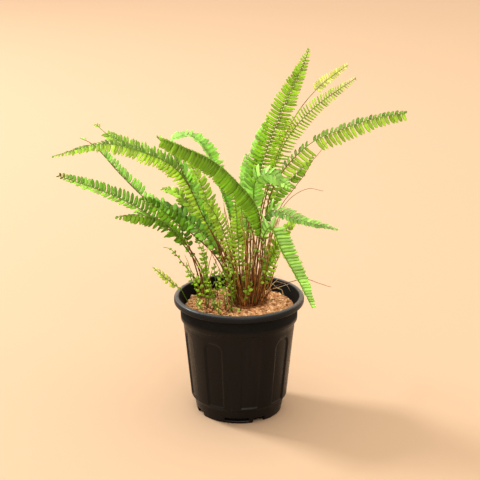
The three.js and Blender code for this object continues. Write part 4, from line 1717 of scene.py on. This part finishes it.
FRONDS = [
    frond("frond_left_long", (-3, 10), [
        (-16, 4, 178), (-37, -2, 228), (-69, -8, 290), (-108, -14, 312), (-148, -20, 322), (-203, -32, 311),
    ], (0.1, -0.85, 0.5), Tone.BRIGHT, leaf=10.8, bare=0.34, lift=(-5, -20), pitch=4.6, fill=0.84, roll=8,
        lean=(0.2, 0.12), sweep=0.04, second=1.15, brown=0.5, twist=-50, crowd=0.2, young=(0.9, 0.4),
        taper=0.85, deep=(0.8, 0.0), jitter=0.8),
    frond("frond_left_rising", (-9, 14), [
        (-23, 20, 173), (-57, 30, 206), (-101, 42, 235), (-136, 52, 267), (-171, 66, 302), (-186, 72, 308),
    ], (0.5, -0.5, 0.7), Tone.BLUE, leaf=12.5, bare=0.34, lift=(25, 60), pitch=4.8, fill=0.86, roll=6,
        brown=0.98, gaps=((0.88, 0.95),), second=0.6, deep=(0.0, 0.4), young=(0.3, 0.8)),
    frond("frond_left_back", (-3, 24), [
        (-15, 40, 175), (-40, 64, 229), (-82, 88, 272), (-131, 108, 290), (-156, 118, 300), (-174, 126, 313),
    ], (0, -0.6, 0.8), Tone.MID, leaf=14, bare=0.38, lift=(10, 10), pitch=4.2, fill=0.8, taper=0.78,
        gaps=((0.9, 0.965),), deep=(0.3, 0.1), young=(0.1, 0.9)),
    frond("frond_left_low", (-38, 32), [
        (-49, 28, 166), (-73, 20, 204), (-108, 6, 238), (-141, -8, 261), (-175, -24, 279), (-197, -34, 290),
    ], (0.2, -0.9, 0.3), Tone.BLUE, leaf=12.5, bare=0.28, lift=(0, -50), pitch=5, fill=0.84, roll=4,
        droop=0.0, sweep=0.05, lean=(0.3, 0.25), second=0.75, withered=0.08, brown=0.25, taper=0.7,
        deep=(0.5, 0.0), young=(0.3, 0.6), jitter=0.8),
    frond("frond_left_dark", (-33, 30), [
        (-47, 18, 172), (-70, -5, 215), (-90, -26, 238), (-112, -44, 248), (-133, -58, 250),
    ], (0, -0.5, 0.87), Tone.DEEP, leaf=14, bare=0.4, lift=(-35, -50), pitch=6.2, fill=0.98, deep=(0.8, 0.2),
        young=(0.2, 0.9), jitter=1.5),
    frond("frond_left_deep", (-42, 27), [
        (-52, 21, 171), (-62, 13, 206), (-77, 5, 231), (-94, -2, 246), (-111, -9, 257),
    ], (0.1, -0.7, 0.7), Tone.MID, leaf=12, bare=0.42, lift=(15, 15), pitch=6, fill=0.9, deep=(0.7, 0.2),
        jitter=1.6),
    frond("frond_left_second", (-6, 7), [
        (-20, 8, 180), (-39, 16, 206), (-57, 22, 221), (-77, 26, 233), (-93, 26, 243), (-107, 26, 249),
    ], (0.2, -0.7, 0.7), Tone.BLUE, leaf=12.5, bare=0.38, pitch=6, fill=0.95, deep=(0.4, 0.0), jitter=1.7,
        young=(0.3, 0.8)),
    frond("frond_left_shaded", (-5, 21), [
        (-20, 36, 172), (-42, 46, 201), (-66, 54, 221), (-90, 60, 229), (-108, 64, 226),
    ], (0, -0.5, 0.87), Tone.DEEP, leaf=14.5, bare=0.32, lift=(-15, -15), pitch=6, fill=1.0, deep=(0.9, 0.5),
        jitter=1.5),
    frond("frond_left_inner", (-8, 20), [
        (-22, 31, 179), (-40, 39, 216), (-59, 44, 238), (-77, 48, 250), (-91, 50, 252),
    ], (0.3, -0.6, 0.75), Tone.BRIGHT, leaf=13.5, bare=0.38, lift=(15, 15), pitch=4.8, fill=1.0,
        young=(0.6, 0.9), deep=(0.2, 0.0)),
    frond("frond_kinked", (0, 6), [
        (-13, -4, 183), (-37, -14, 231), (-57, -26, 282), (-72, -34, 314), (-88, -46, 336),
    ], (0.5, -0.6, 0.6), Tone.BLUE, leaf=14.5, bare=0.42, lift=(5, 60), pitch=4.3, fill=1.2,
        lean=(0.15, 0.15), brown=0.95, taper=0.7, young=(0.6, 0.9), deep=(0.0, 0.5)),
    frond("frond_broad", (14, -4), [
        (18, -14, 184), (24, -26, 223), (18, -38, 258), (-3, -52, 288), (-26, -66, 313), (-51, -80, 329),
        (-77, -96, 344),
    ], (0.5, -0.35, 0.8), Tone.MID, leaf=17.8, bare=0.33, lift=(-40, -45), pitch=4.1, fill=1.6, roll=20,
        lean=(0.04, 0.04), droop=0.16, sweep=0.02, brown=0.45, jitter=0.35, crowd=0.1, taper=0.5,
        young=(0.3, 0.55), deep=(0.05, 0.05)),
    frond("frond_top_arch", (3, 18), [
        (-6, 24, 186), (-13, 34, 234), (-26, 44, 267), (-38, 56, 296), (-57, 68, 311), (-80, 78, 304),
    ], (0.5, -0.5, 0.7), Tone.BLUE, leaf=18.5, bare=0.4, lift=(0, 30), pitch=3, fill=1.25, lean=(0.02, 0.05),
        sweep=0.03, second=0.35, brown=0.95, young=(0.0, 0.9), taper=0.3, jitter=0.6),
    frond("frond_mid_left", (-2, 14), [(-20, 14, 183), (-35, 16, 243), (-47, 18, 274), (-58, 20, 294)],
        (0.4, -0.8, 0.4), Tone.BRIGHT, leaf=12.5, bare=0.44, lift=(10, 10), pitch=4.8, fill=0.95,
        young=(0.7, 0.9), deep=(0.2, 0.0)),
    frond("frond_yellow_mid", (1, 1), [(-8, -6, 181), (-19, -16, 225), (-32, -24, 252), (-41, -30, 264)],
        (0.4, -0.8, 0.4), Tone.BRIGHT, leaf=11, bare=0.42, lift=(10, 10), pitch=4.8, fill=0.9,
        young=(0.6, 0.9)),
    frond("frond_short_mid", (7, -5), [(1, -10, 173), (-1, -16, 211), (-3, -22, 242), (-4, -26, 258)],
        (0.2, -0.9, 0.3), Tone.BRIGHT, leaf=9, bare=0.36, pitch=4.8, fill=0.85, young=(0.4, 0.8)),
    frond("frond_tall", (12, 16), [
        (13, 20, 173), (15, 24, 228), (22, 28, 272), (37, 34, 318), (54, 40, 360), (69, 46, 391),
        (79, 50, 415),
    ], (0.42, -0.88, 0.25), Tone.BRIGHT, leaf=16.2, bare=0.34, pitch=4.2, fill=0.84, roll=16,
        lean=(0.12, 0.16), droop=0.04, sweep=0.03, jitter=0.6, deep=(0.15, 0.15), young=(0.1, 0.6)),
    frond("frond_second_tall", (18, 10), [
        (21, 8, 177), (26, 6, 234), (41, 2, 294), (56, -4, 329), (80, -12, 359), (102, -20, 378),
        (125, -28, 396),
    ], (0.1, -0.9, 0.5), Tone.BRIGHT, leaf=12.5, bare=0.4, lift=(-5, 10), pitch=4, fill=0.66, roll=28,
        lean=(0.14, 0.2), sweep=0.04, droop=0.06, crowd=0.35, young=(0.3, 1.0), taper=0.85, widest=0.35,
        jitter=0.7, deep=(0.1, 0.0)),
    frond("frond_thin_tip", (15, 28), [
        (19, 44, 173), (27, 62, 230), (45, 84, 285), (70, 102, 333), (98, 116, 363), (130, 130, 384),
    ], (0, -0.9, 0.4), Tone.PALE, leaf=8, bare=0.4, lift=(0, 30), pitch=3.7, fill=0.66, lean=(0.1, 0.1),
        brown=0.8, gaps=((0.46, 0.72),), second=1.35, taper=0.7, jitter=0.6, young=(0.4, 1.0)),
    frond("frond_right_long", (24, 6), [
        (26, 0, 179), (35, -8, 261), (53, -14, 296), (82, -22, 326), (112, -30, 341), (148, -38, 355),
        (177, -44, 361),
    ], (0, -0.75, 0.66), Tone.BRIGHT, leaf=15.5, bare=0.4, lift=(-22, -35), pitch=5.2, fill=0.76, roll=4,
        lean=(0.1, 0.04), sweep=0.04, second=0.68, droop=0.04, brown=0.6, crowd=0.12, gaps=((0.4, 0.45),),
        twist=-10, taper=0.5, deep=(0.1, 0.7), jitter=0.7, young=(0.7, 0.3)),
    frond("frond_right_spare", (26, 14), [
        (29, 16, 174), (37, 24, 246), (57, 30, 267), (78, 36, 287), (85, 38, 296),
    ], (-0.3, -0.7, 0.6), Tone.MID, leaf=11, bare=0.5, lift=(-25, -25), pitch=5.6, fill=0.85),
    frond("frond_right_low", (21, 0), [
        (24, -8, 182), (28, -18, 232), (37, -24, 248), (53, -30, 244), (74, -36, 238), (109, -42, 231),
    ], (0, -0.35, 0.93), Tone.BLUE, leaf=10.5, bare=0.43, lift=(-25, 25), pitch=4.2, fill=1.05, crowd=0.3,
        twist=35, second=1.6, taper=0.8, widest=0.05, young=(0.8, 0.8), deep=(0.5, 0.0), jitter=0.8,
        stalk=(0.95, 0.2)),
    frond("frond_drooping", (19, -7), [
        (23, -17, 174), (27, -30, 219), (35, -36, 232), (46, -38, 208), (67, -42, 170), (82, -44, 140),
    ], (0.5, 0.8, -0.2), Tone.BLUE, leaf=18.5, bare=0.42, lift=(12, 50), pitch=4, fill=1.3, roll=6,
        lean=(0.25, 0.25), sweep=0.02, droop=0.06, second=0.4, jitter=0.6, taper=0.75, widest=0.15,
        young=(1.0, 1.0), stalk=(0.95, 0.2)),
    frond("frond_curved_small", (28, 7), [(29, 6, 149), (33, 2, 174), (42, -2, 197), (49, -5, 210)],
        (-0.5, -0.6, 0.6), Tone.BRIGHT, leaf=12.5, bare=0.25, pitch=5.6, fill=0.8, lean=(0.1, 0.1),
        young=(0.3, 0.7), jitter=0.7),
    frond("frond_right_small", (28, 19), [(33, 22, 162), (43, 28, 191), (57, 34, 210), (67, 36, 218)],
        (0, -0.8, 0.5), Tone.BRIGHT, leaf=9, bare=0.4, pitch=5.6, fill=0.9),
    frond("frond_back_upright", (8, 28), [(9, 42, 181), (9, 58, 238), (9, 68, 266), (9, 74, 288)],
        (-0.2, -0.9, 0.3), Tone.BLUE, leaf=13.5, bare=0.4, pitch=4.7, fill=1.0, young=(1.0, 1.0)),
    frond("frond_tall_twin", (10, 23), [
        (10, 34, 183), (13, 48, 240), (17, 58, 280), (25, 66, 310), (34, 74, 333),
    ], (-0.2, -0.9, 0.3), Tone.BLUE, leaf=10.5, bare=0.42, pitch=4.6, fill=0.9, deep=(0.2, 0.0),
        young=(0.5, 0.8)),
    frond("frond_pale_right", (15, 3), [
        (16, -3, 192), (16, -12, 248), (19, -20, 281), (31, -26, 290), (57, -31, 276),
    ], (0, -0.75, 0.65), Tone.BLUE, leaf=14.5, bare=0.48, lift=(-15, -15), pitch=4.6, fill=1.25,
        young=(0.8, 1.0)),
    frond("frond_back", (5, 32), [(4, 60, 166), (4, 94, 202), (8, 130, 218), (14, 166, 212)],
        (0, 0.2, 0.98), Tone.MID, leaf=15, bare=0.34, lift=(-10, -10), fill=0.9),
]


SHOOTS = [
    shoot("shoot_over_rim", (-61, 16), [
        (-63, 11, 133), (-68, 5, 145), (-77, 0, 153), (-85, -6, 163), (-98, -14, 178),
    ], (0.3, -0.5, 0.8), Tone.PALE, 9.5, 0.3, jitter=1.2, pitch=5.6, brown=-0.3),
    shoot("shoot_thin", (-47, 20), [(-51, 18, 150), (-65, 14, 173), (-79, 12, 191), (-87, 10, 194)],
        (0, -0.5, 0.85), Tone.MID, 5, 0.5, brown=0.8),
    shoot("shoot_upright", (-38, 4), [(-38, 4, 150), (-39, 4, 174), (-41, 6, 198)],
        (0.3, -0.9, 0.3), Tone.BRIGHT, 7, 0.3),
    shoot("shoot_short", (-43, -3), [(-45, -5, 146), (-49, -8, 160), (-55, -11, 173)],
        (0, -0.9, 0.4), Tone.BRIGHT, 7, 0.25),
    shoot("shoot_front", (-15, -14), [(-17, -15, 142), (-20, -14, 158), (-23, -12, 175)],
        (0.3, -0.9, 0.3), Tone.BRIGHT, 6, 0.3),
    shoot("shoot_back_left", (-25, 28), [(-27, 28, 144), (-29, 29, 158), (-27, 30, 173)],
        (0.2, -0.9, 0.3), Tone.MID, 6, 0.3),
    shoot("shoot_centre", (-8, -17), [(-9, -17, 150), (-13, -17, 174), (-10, -17, 192)],
        (0.2, -0.9, 0.3), Tone.BRIGHT, 6, 0.35),
    shoot("shoot_left_tuft", (-46, 5), [(-49, 3, 142), (-54, 1, 156), (-58, -3, 168), (-60, -6, 181)],
        (0.1, -0.9, 0.4), Tone.BRIGHT, 6, 0.35),
    shoot("shoot_creeping", (-14, -20), [(-9, -23, 131), (-2, -27, 131), (4, -30, 130)],
        (0, -0.3, 0.95), Tone.BRIGHT, 5, 0.2, strays=0.0),
    shoot("shoot_mid", (2, -17), [(4, -18, 136), (9, -20, 149), (15, -22, 163)],
        (0.3, -0.9, 0.3), Tone.BRIGHT, 7, 0.5),
    shoot("shoot_tall", (-36, 13), [(-37, 13, 150), (-40, 14, 176), (-44, 14, 191), (-52, 14, 208)],
        (0.2, -0.9, 0.3), Tone.BRIGHT, 7, 0.3, pitch=8.5),
]


@dataclass
class Clump:
    """A patch of thin growth with one piece for all of it.

    Attributes:
        name: the piece's name.
        centre: the middle of the patch.
        radii: its half sizes.
        count: number of plants in it.
        heights: the shortest and the tallest.
        seed: seed of the random numbers.
    """

    name: str
    centre: Pair
    radii: Pair
    count: int
    heights: Pair
    seed: int


@dataclass
class SproutCluster(Clump):
    """A patch of young sprouts: thin stems with small round leaflets, that lean out from its middle.

    Attributes:
        lean: the common lean, per unit of height.
        tone: leaf colour.
    """

    lean: Pair
    tone: Tone = Tone.BRIGHT

    def sprout(self, rng: Draws) -> Frond:
        """One sprout: a bowed route from a random foot, with its own number and size of leaflets.

        Args:
            rng: the patch's random numbers.

        Returns:
            The sprout.
        """
        turn, reach = rng.uniform(0, FULL_TURN), math.sqrt(rng.uniform())
        out = np.array([math.sin(turn), -math.cos(turn)]) * reach
        foot = np.array(self.centre) + out * self.radii
        height = rng.uniform(*self.heights)
        tilt = np.array(self.lean) + out * 0.35 + rng.normal(size=2) * 0.16
        bow = rng.normal(size=2) * 0.1
        rise = [0.3, 0.65, 1.0]
        level = ground(foot)
        away = [foot + height * (tilt * r**1.3 + bow * r * (1 - r) * 2) for r in rise]
        route = [(*place, level + height * r) for place, r in zip(away, rise)]
        face = (rng.uniform(-0.5, 0.5), -0.8, rng.uniform(0.2, 0.7))
        return Frond(
            self.name, (*foot, level), route, face, self.tone, leaf=rng.uniform(0.0031, 0.0050),
            bare=rng.uniform(0.1, 0.35), pitch=rng.uniform(0.008, 0.0125), form=Form.ROUND, jitter=2.6,
            roll=0.0, brown=rng.uniform(-0.6, 0.2), stalk=(0.00062, 0.00028), young=(0.5, 1.0), strays=0.3,
        )

    def build(self, finishes: Finishes) -> None:
        """Builds the whole patch as one piece.

        Args:
            finishes: the materials.
        """
        rng = np.random.default_rng(self.seed)
        piece = Piece(self.name)
        for _ in range(self.count):
            sprout = self.sprout(rng)
            curve = sprout.curve()
            strays = sprout.stray_leaflets(curve, rng)
            piece.add(sprout.stem(curve), sprout.leaflets(curve, rng), *strays)
        ride(piece.build([finishes.stalk, finishes.leaves[self.tone]]), self.tone.value)


CLUSTERS = [
    SproutCluster("sprouts_left", (-0.042, 0.004), (0.012, 0.016), 5, (0.024, 0.07), 41, (-0.16, 0.0)),
    SproutCluster("sprouts_middle", (-0.016, -0.006), (0.014, 0.013), 5, (0.025, 0.075), 42, (-0.1, 0.0)),
    SproutCluster("sprouts_low", (-0.024, -0.018), (0.02, 0.012), 5, (0.006, 0.02), 47, (0, 0), Tone.PALE),
    SproutCluster("sprouts_crown", (0.004, 0.0), (0.018, 0.012), 9, (0.05, 0.12), 43, (0.0, 0.02)),
]


@dataclass
class Thicket(Clump):
    """Old stalks without leaves that crowd the fronds' feet.

    Attributes:
        spread: how far the outer ones lean out, per unit of height.
        level: height of their feet.
    """

    spread: float
    level: float = 0.1285

    def stalks(self) -> Patch:
        """Tapering five-sided tubes: each leans out by its foot's place, bows, and wobbles a little."""
        rng = np.random.default_rng(self.seed)
        way, reach = disc(self.count, rng)
        out = way[:, :2] * reach[:, None]
        foot = np.array(self.centre) + out * self.radii
        height = rng.uniform(*self.heights, self.count)
        share = np.linspace(0, 1, 16)
        tilt = out * self.spread + rng.normal(size=out.shape) * 0.1
        bow = rng.normal(size=out.shape) * 0.09
        drift = tilt[:, None] * share[:, None] ** 1.35 + bow[:, None] * (share * (1 - share) * 2)[:, None]
        flat = foot[:, None] + drift * height[:, None, None]
        level = self.level - 0.003 + share * height[:, None]
        line = np.concatenate([flat, level[..., None]], axis=-1)
        line[:, 1:, :2] += 0.0006 * waves(line[:, 1:], 0.03, self.seed, 2)[..., None]
        corner = turns(5)
        circle = np.stack([np.cos(corner), np.sin(corner), np.zeros(5)], axis=-1)
        radius = rng.uniform(0.0005, 0.0009, self.count)[:, None] * (1 - 0.6 * share)
        green = rng.uniform(-0.2, 0.9, self.count)[:, None] * share
        points = line[:, :, None] + radius[..., None, None] * circle
        return tubes(points, {"green": np.repeat(green, 5, axis=1)})

    def build(self, finishes: Finishes) -> None:
        """Builds the stalks as one piece."""
        ride(Piece(self.name).add(self.stalks()).build([finishes.dry]), "crown")


THICKETS = [
    Thicket("stalk_thicket", (0.01, 0.012), (0.021, 0.021), 74, (0.03, 0.125), 61, 0.32),
    Thicket("stalk_thicket_left", (-0.038, 0.029), (0.009, 0.007), 12, (0.02, 0.07), 62, 0.3),
]


# -------- runners, old stalks and roots


class Growth(Enum):
    """The kinds of bare thread, each with its radius, the record's slot and the finish's name."""

    RUNNER = (0.0005, "runner", "runner")
    OLD_STALK = (0.0008, "runner", "dry")
    ROOT = (0.00055, "root", "root")


@dataclass
class Thread:
    """A bare thread along a route, with a little wobble that fades at its foot.

    Attributes:
        node: the CAD node that it stands for, or the name of an extra one.
        growth: its kind.
        route: the places that it passes through, in millimetres.
        wobble: how far it strays, in millimetres.
        thin: its radius against the usual one of its kind.
    """

    node: str
    growth: Growth
    route: Sequence[Vec]
    wobble: float = 0.7
    thin: float = 1.0

    def build(self, finishes: Finishes, seed: int) -> None:
        """Builds the thread as a tapering six-sided tube.

        Args:
            finishes: the materials.
            seed: seed of its wobble.
        """
        radius, slot, finish = self.growth.value
        curve = Route(metres(self.route))
        shares = np.linspace(0, 1, 72)
        t, s, n = curve.axes(shares, (0.31, 0.87, 0.39))
        places = curve.at(shares)
        away = np.minimum(1, shares / 0.15)[:, None] * metres(self.wobble)
        sway, swing = [waves(places, 0.03, own, 2)[:, None] for own in (seed, seed + 50)]
        places = places + away * (sway * s + swing * n)
        places[0] -= t[0] * 0.001
        radii = radius * self.thin * (1 - 0.55 * shares)
        made = Piece(self.node + "_grown").add(tube(places, s, n, radii, 6, {"green": shares * 0.5}))
        nodes = [self.node] if self.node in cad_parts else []
        ride(made.build([getattr(finishes, finish)]), slot, *nodes)


THREADS = [
    Thread("runner_right_long", Growth.RUNNER, [
        (24, 22, 131), (32, 21, 190), (42, 20, 230), (67, 22, 266), (87, 26, 296), (109, 34, 324),
    ]),
    Thread("runner_right_fork", Growth.RUNNER, [
        (27, 25, 131), (33, 26, 190), (44, 27, 226), (62, 29, 249), (80, 33, 257), (97, 36, 254),
    ]),
    Thread("runner_right_low", Growth.RUNNER, [
        (30, 12, 131), (40, 2, 148), (55, -8, 157), (76, -20, 165), (103, -36, 162),
    ]),
    Thread("old_stalk_front", Growth.OLD_STALK, [
        (8, -10, 131), (7, -13, 150), (9, -18, 184), (6, -23, 217), (1, -27, 242),
    ]),
    Thread("old_stalk_right", Growth.OLD_STALK, [
        (29, 10, 131), (30, 9, 150), (33, 8, 179), (37, 7, 205), (45, 6, 227),
    ]),
    Thread("old_stalk_left", Growth.OLD_STALK, [(-5, 3, 131), (-9, -1, 150), (-15, -4, 172), (-20, -5, 190)]),
    Thread("root_arch_inner", Growth.ROOT, [(41, 36, 127), (37, 33, 137), (40, 32, 142), (46, 31, 148)]),
    Thread("root_arch_outer", Growth.ROOT, [(52, 30, 127), (50, 28, 135), (45, 26, 138), (38, 24, 146)]),
    Thread("root_across", Growth.ROOT, [(31, 22, 131), (38, 28, 136), (47, 32, 137), (58, 36, 139)]),
    Thread("root_left", Growth.ROOT, [(-14, 14, 131), (-22, 10, 138), (-30, 6, 136), (-33, -2, 127)]),
    Thread("root_loop_right", Growth.ROOT, [
        (30, 12, 128), (33, 10, 141), (42, 14, 149), (53, 22, 146), (60, 26, 134),
    ], 1.2, 0.7),
    Thread("root_sprawl_right", Growth.ROOT, [(34, 4, 127), (36, 4, 133), (45, 10, 133), (56, 16, 128)],
        1.2, 0.7),
    Thread("root_hook_right", Growth.ROOT, [(36, 20, 128), (36, 19, 145), (43, 19, 156), (50, 21, 152)],
        1.2, 0.6),
    Thread("root_arc_left", Growth.ROOT, [(-10, -8, 128), (-18, -10, 141), (-30, -6, 146), (-38, 2, 132)],
        1.5, 0.6),
    Thread("root_arc_middle", Growth.ROOT, [(-6, 2, 129), (-14, 4, 149), (-26, 10, 152), (-36, 18, 138)],
        1.5, 0.6),
    Thread("root_wisp_left", Growth.ROOT, [(-30, 4, 127), (-26, -2, 136), (-14, -10, 139), (-2, -16, 129)],
        1.5, 0.55),
]


# -------- studio


@dataclass
class Studio:
    """A plain pale floor, soft light from the left and a little behind, a weak fill, and the camera."""

    floor_colour: str = "bba28b"
    floor_cloud: str = "b79a7c"
    floor_radius: float = 20.0
    far: Colour = (1.0, 0.80, 0.60, 1.0)
    near: Colour = (0.70, 0.62, 0.52, 1.0)
    above: Colour = (0.74, 0.77, 0.74, 1.0)
    strength: float = 1.95
    camera_place: Vec = (0.0011, -1.302, 0.617)
    camera_tilt: float = 72.47
    lens: float = 90.0

    def light(self, name: str, place: Vec, aim: Vec, size: float, power: float, colour: Vec) -> None:
        """Adds a square soft light that looks at a point.

        Args:
            name: the light's name.
            place: where it hangs.
            aim: the point.
            size: its side.
            power: its power in watts.
            colour: red, green and blue.
        """
        lamp = bpy.data.lights.new(name, "AREA")
        lamp.size, lamp.energy, lamp.color = size, power, colour
        made = bpy.data.objects.new(name, lamp)
        made.location = place
        made.rotation_euler = (Vector(aim) - Vector(place)).to_track_quat("-Z", "Y").to_euler()
        bpy.context.scene.collection.objects.link(made)

    def sky(self) -> bpy.types.World:
        """The room's light: a warm glow, brighter behind the plant than in front, and cooler overhead."""
        world = bpy.data.worlds.new("studio")
        world.use_nodes = True
        graph = Graph(world.node_tree)
        way = graph.node("ShaderNodeSeparateXYZ", {0: graph.node("ShaderNodeTexCoord").outputs["Generated"]})
        level = graph.mix(graph.span(way.outputs["Y"], -0.7, 0.7), self.near, self.far)
        colour = graph.mix(graph.span(way.outputs["Z"], 0.35, 0.95), level, self.above)
        glow = graph.node("ShaderNodeBackground", {"Color": colour, "Strength": self.strength})
        output = graph.node("ShaderNodeOutputWorld")
        graph.feed(output.inputs["Surface"], glow.outputs[0])
        return world

    def floor(self) -> None:
        """A wide round floor of plain pale colour."""
        turn = turns(96)
        circle = np.stack([np.cos(turn), np.sin(turn)], axis=-1) * self.floor_radius
        rings = np.stack([np.column_stack([circle, np.full(96, z)]) for z in (-0.02, -0.0002)])
        material, graph, surface = new_material("studio_floor")
        cloud = graph.times(graph.noise(1.2, 2), 0.1)
        colour = graph.mix(cloud, linear(self.floor_colour), linear(self.floor_cloud))
        graph.feed(surface, graph.skin({"Base Color": colour, "Roughness": 0.85, "Specular IOR Level": 0.2}))
        Piece("studio_floor_disc").add(capped(rings)).build([material], False)

    def build(self) -> None:
        """Sets the world, floor, lights and camera."""
        scene = bpy.context.scene
        scene.view_settings.view_transform = "Standard"
        scene.view_settings.gamma = 0.82
        scene.world = self.sky()
        self.floor()
        self.light("key", (-3.3, 1.7, 3.1), (0.0, 0.0, 0.15), 1.0, 225.0, (0.88, 0.92, 0.93))
        self.light("fill", (0.6, -2.8, 1.7), (0.0, 0.0, 0.2), 1.8, 30.0, (1.0, 0.95, 0.88))
        lens = bpy.data.cameras.new("camera")
        lens.lens, lens.sensor_width = self.lens, 36.0
        camera = bpy.data.objects.new("camera", lens)
        camera.location = self.camera_place
        camera.rotation_euler = (math.radians(self.camera_tilt), 0.0, 0.0)
        scene.collection.objects.link(camera)
        scene.camera = camera


def main() -> None:
    """Builds the studio and every piece, in order."""
    logging.basicConfig(level=logging.INFO, format="%(message)s")
    Studio().build()
    finishes = Finishes()
    pot = Pot()
    pot.build(finishes)
    PottingMix(pot).build(finishes)
    for crown in CROWNS:
        crown.build(finishes)
    for seed, plant in enumerate([*FRONDS, *SHOOTS]):
        plant.build(finishes, 100 + seed)
    for seed, thread in enumerate(THREADS):
        thread.build(finishes, 300 + seed)
    for growth in [*CLUSTERS, *THICKETS]:
        growth.build(finishes)


if __name__ == "__main__":
    main()
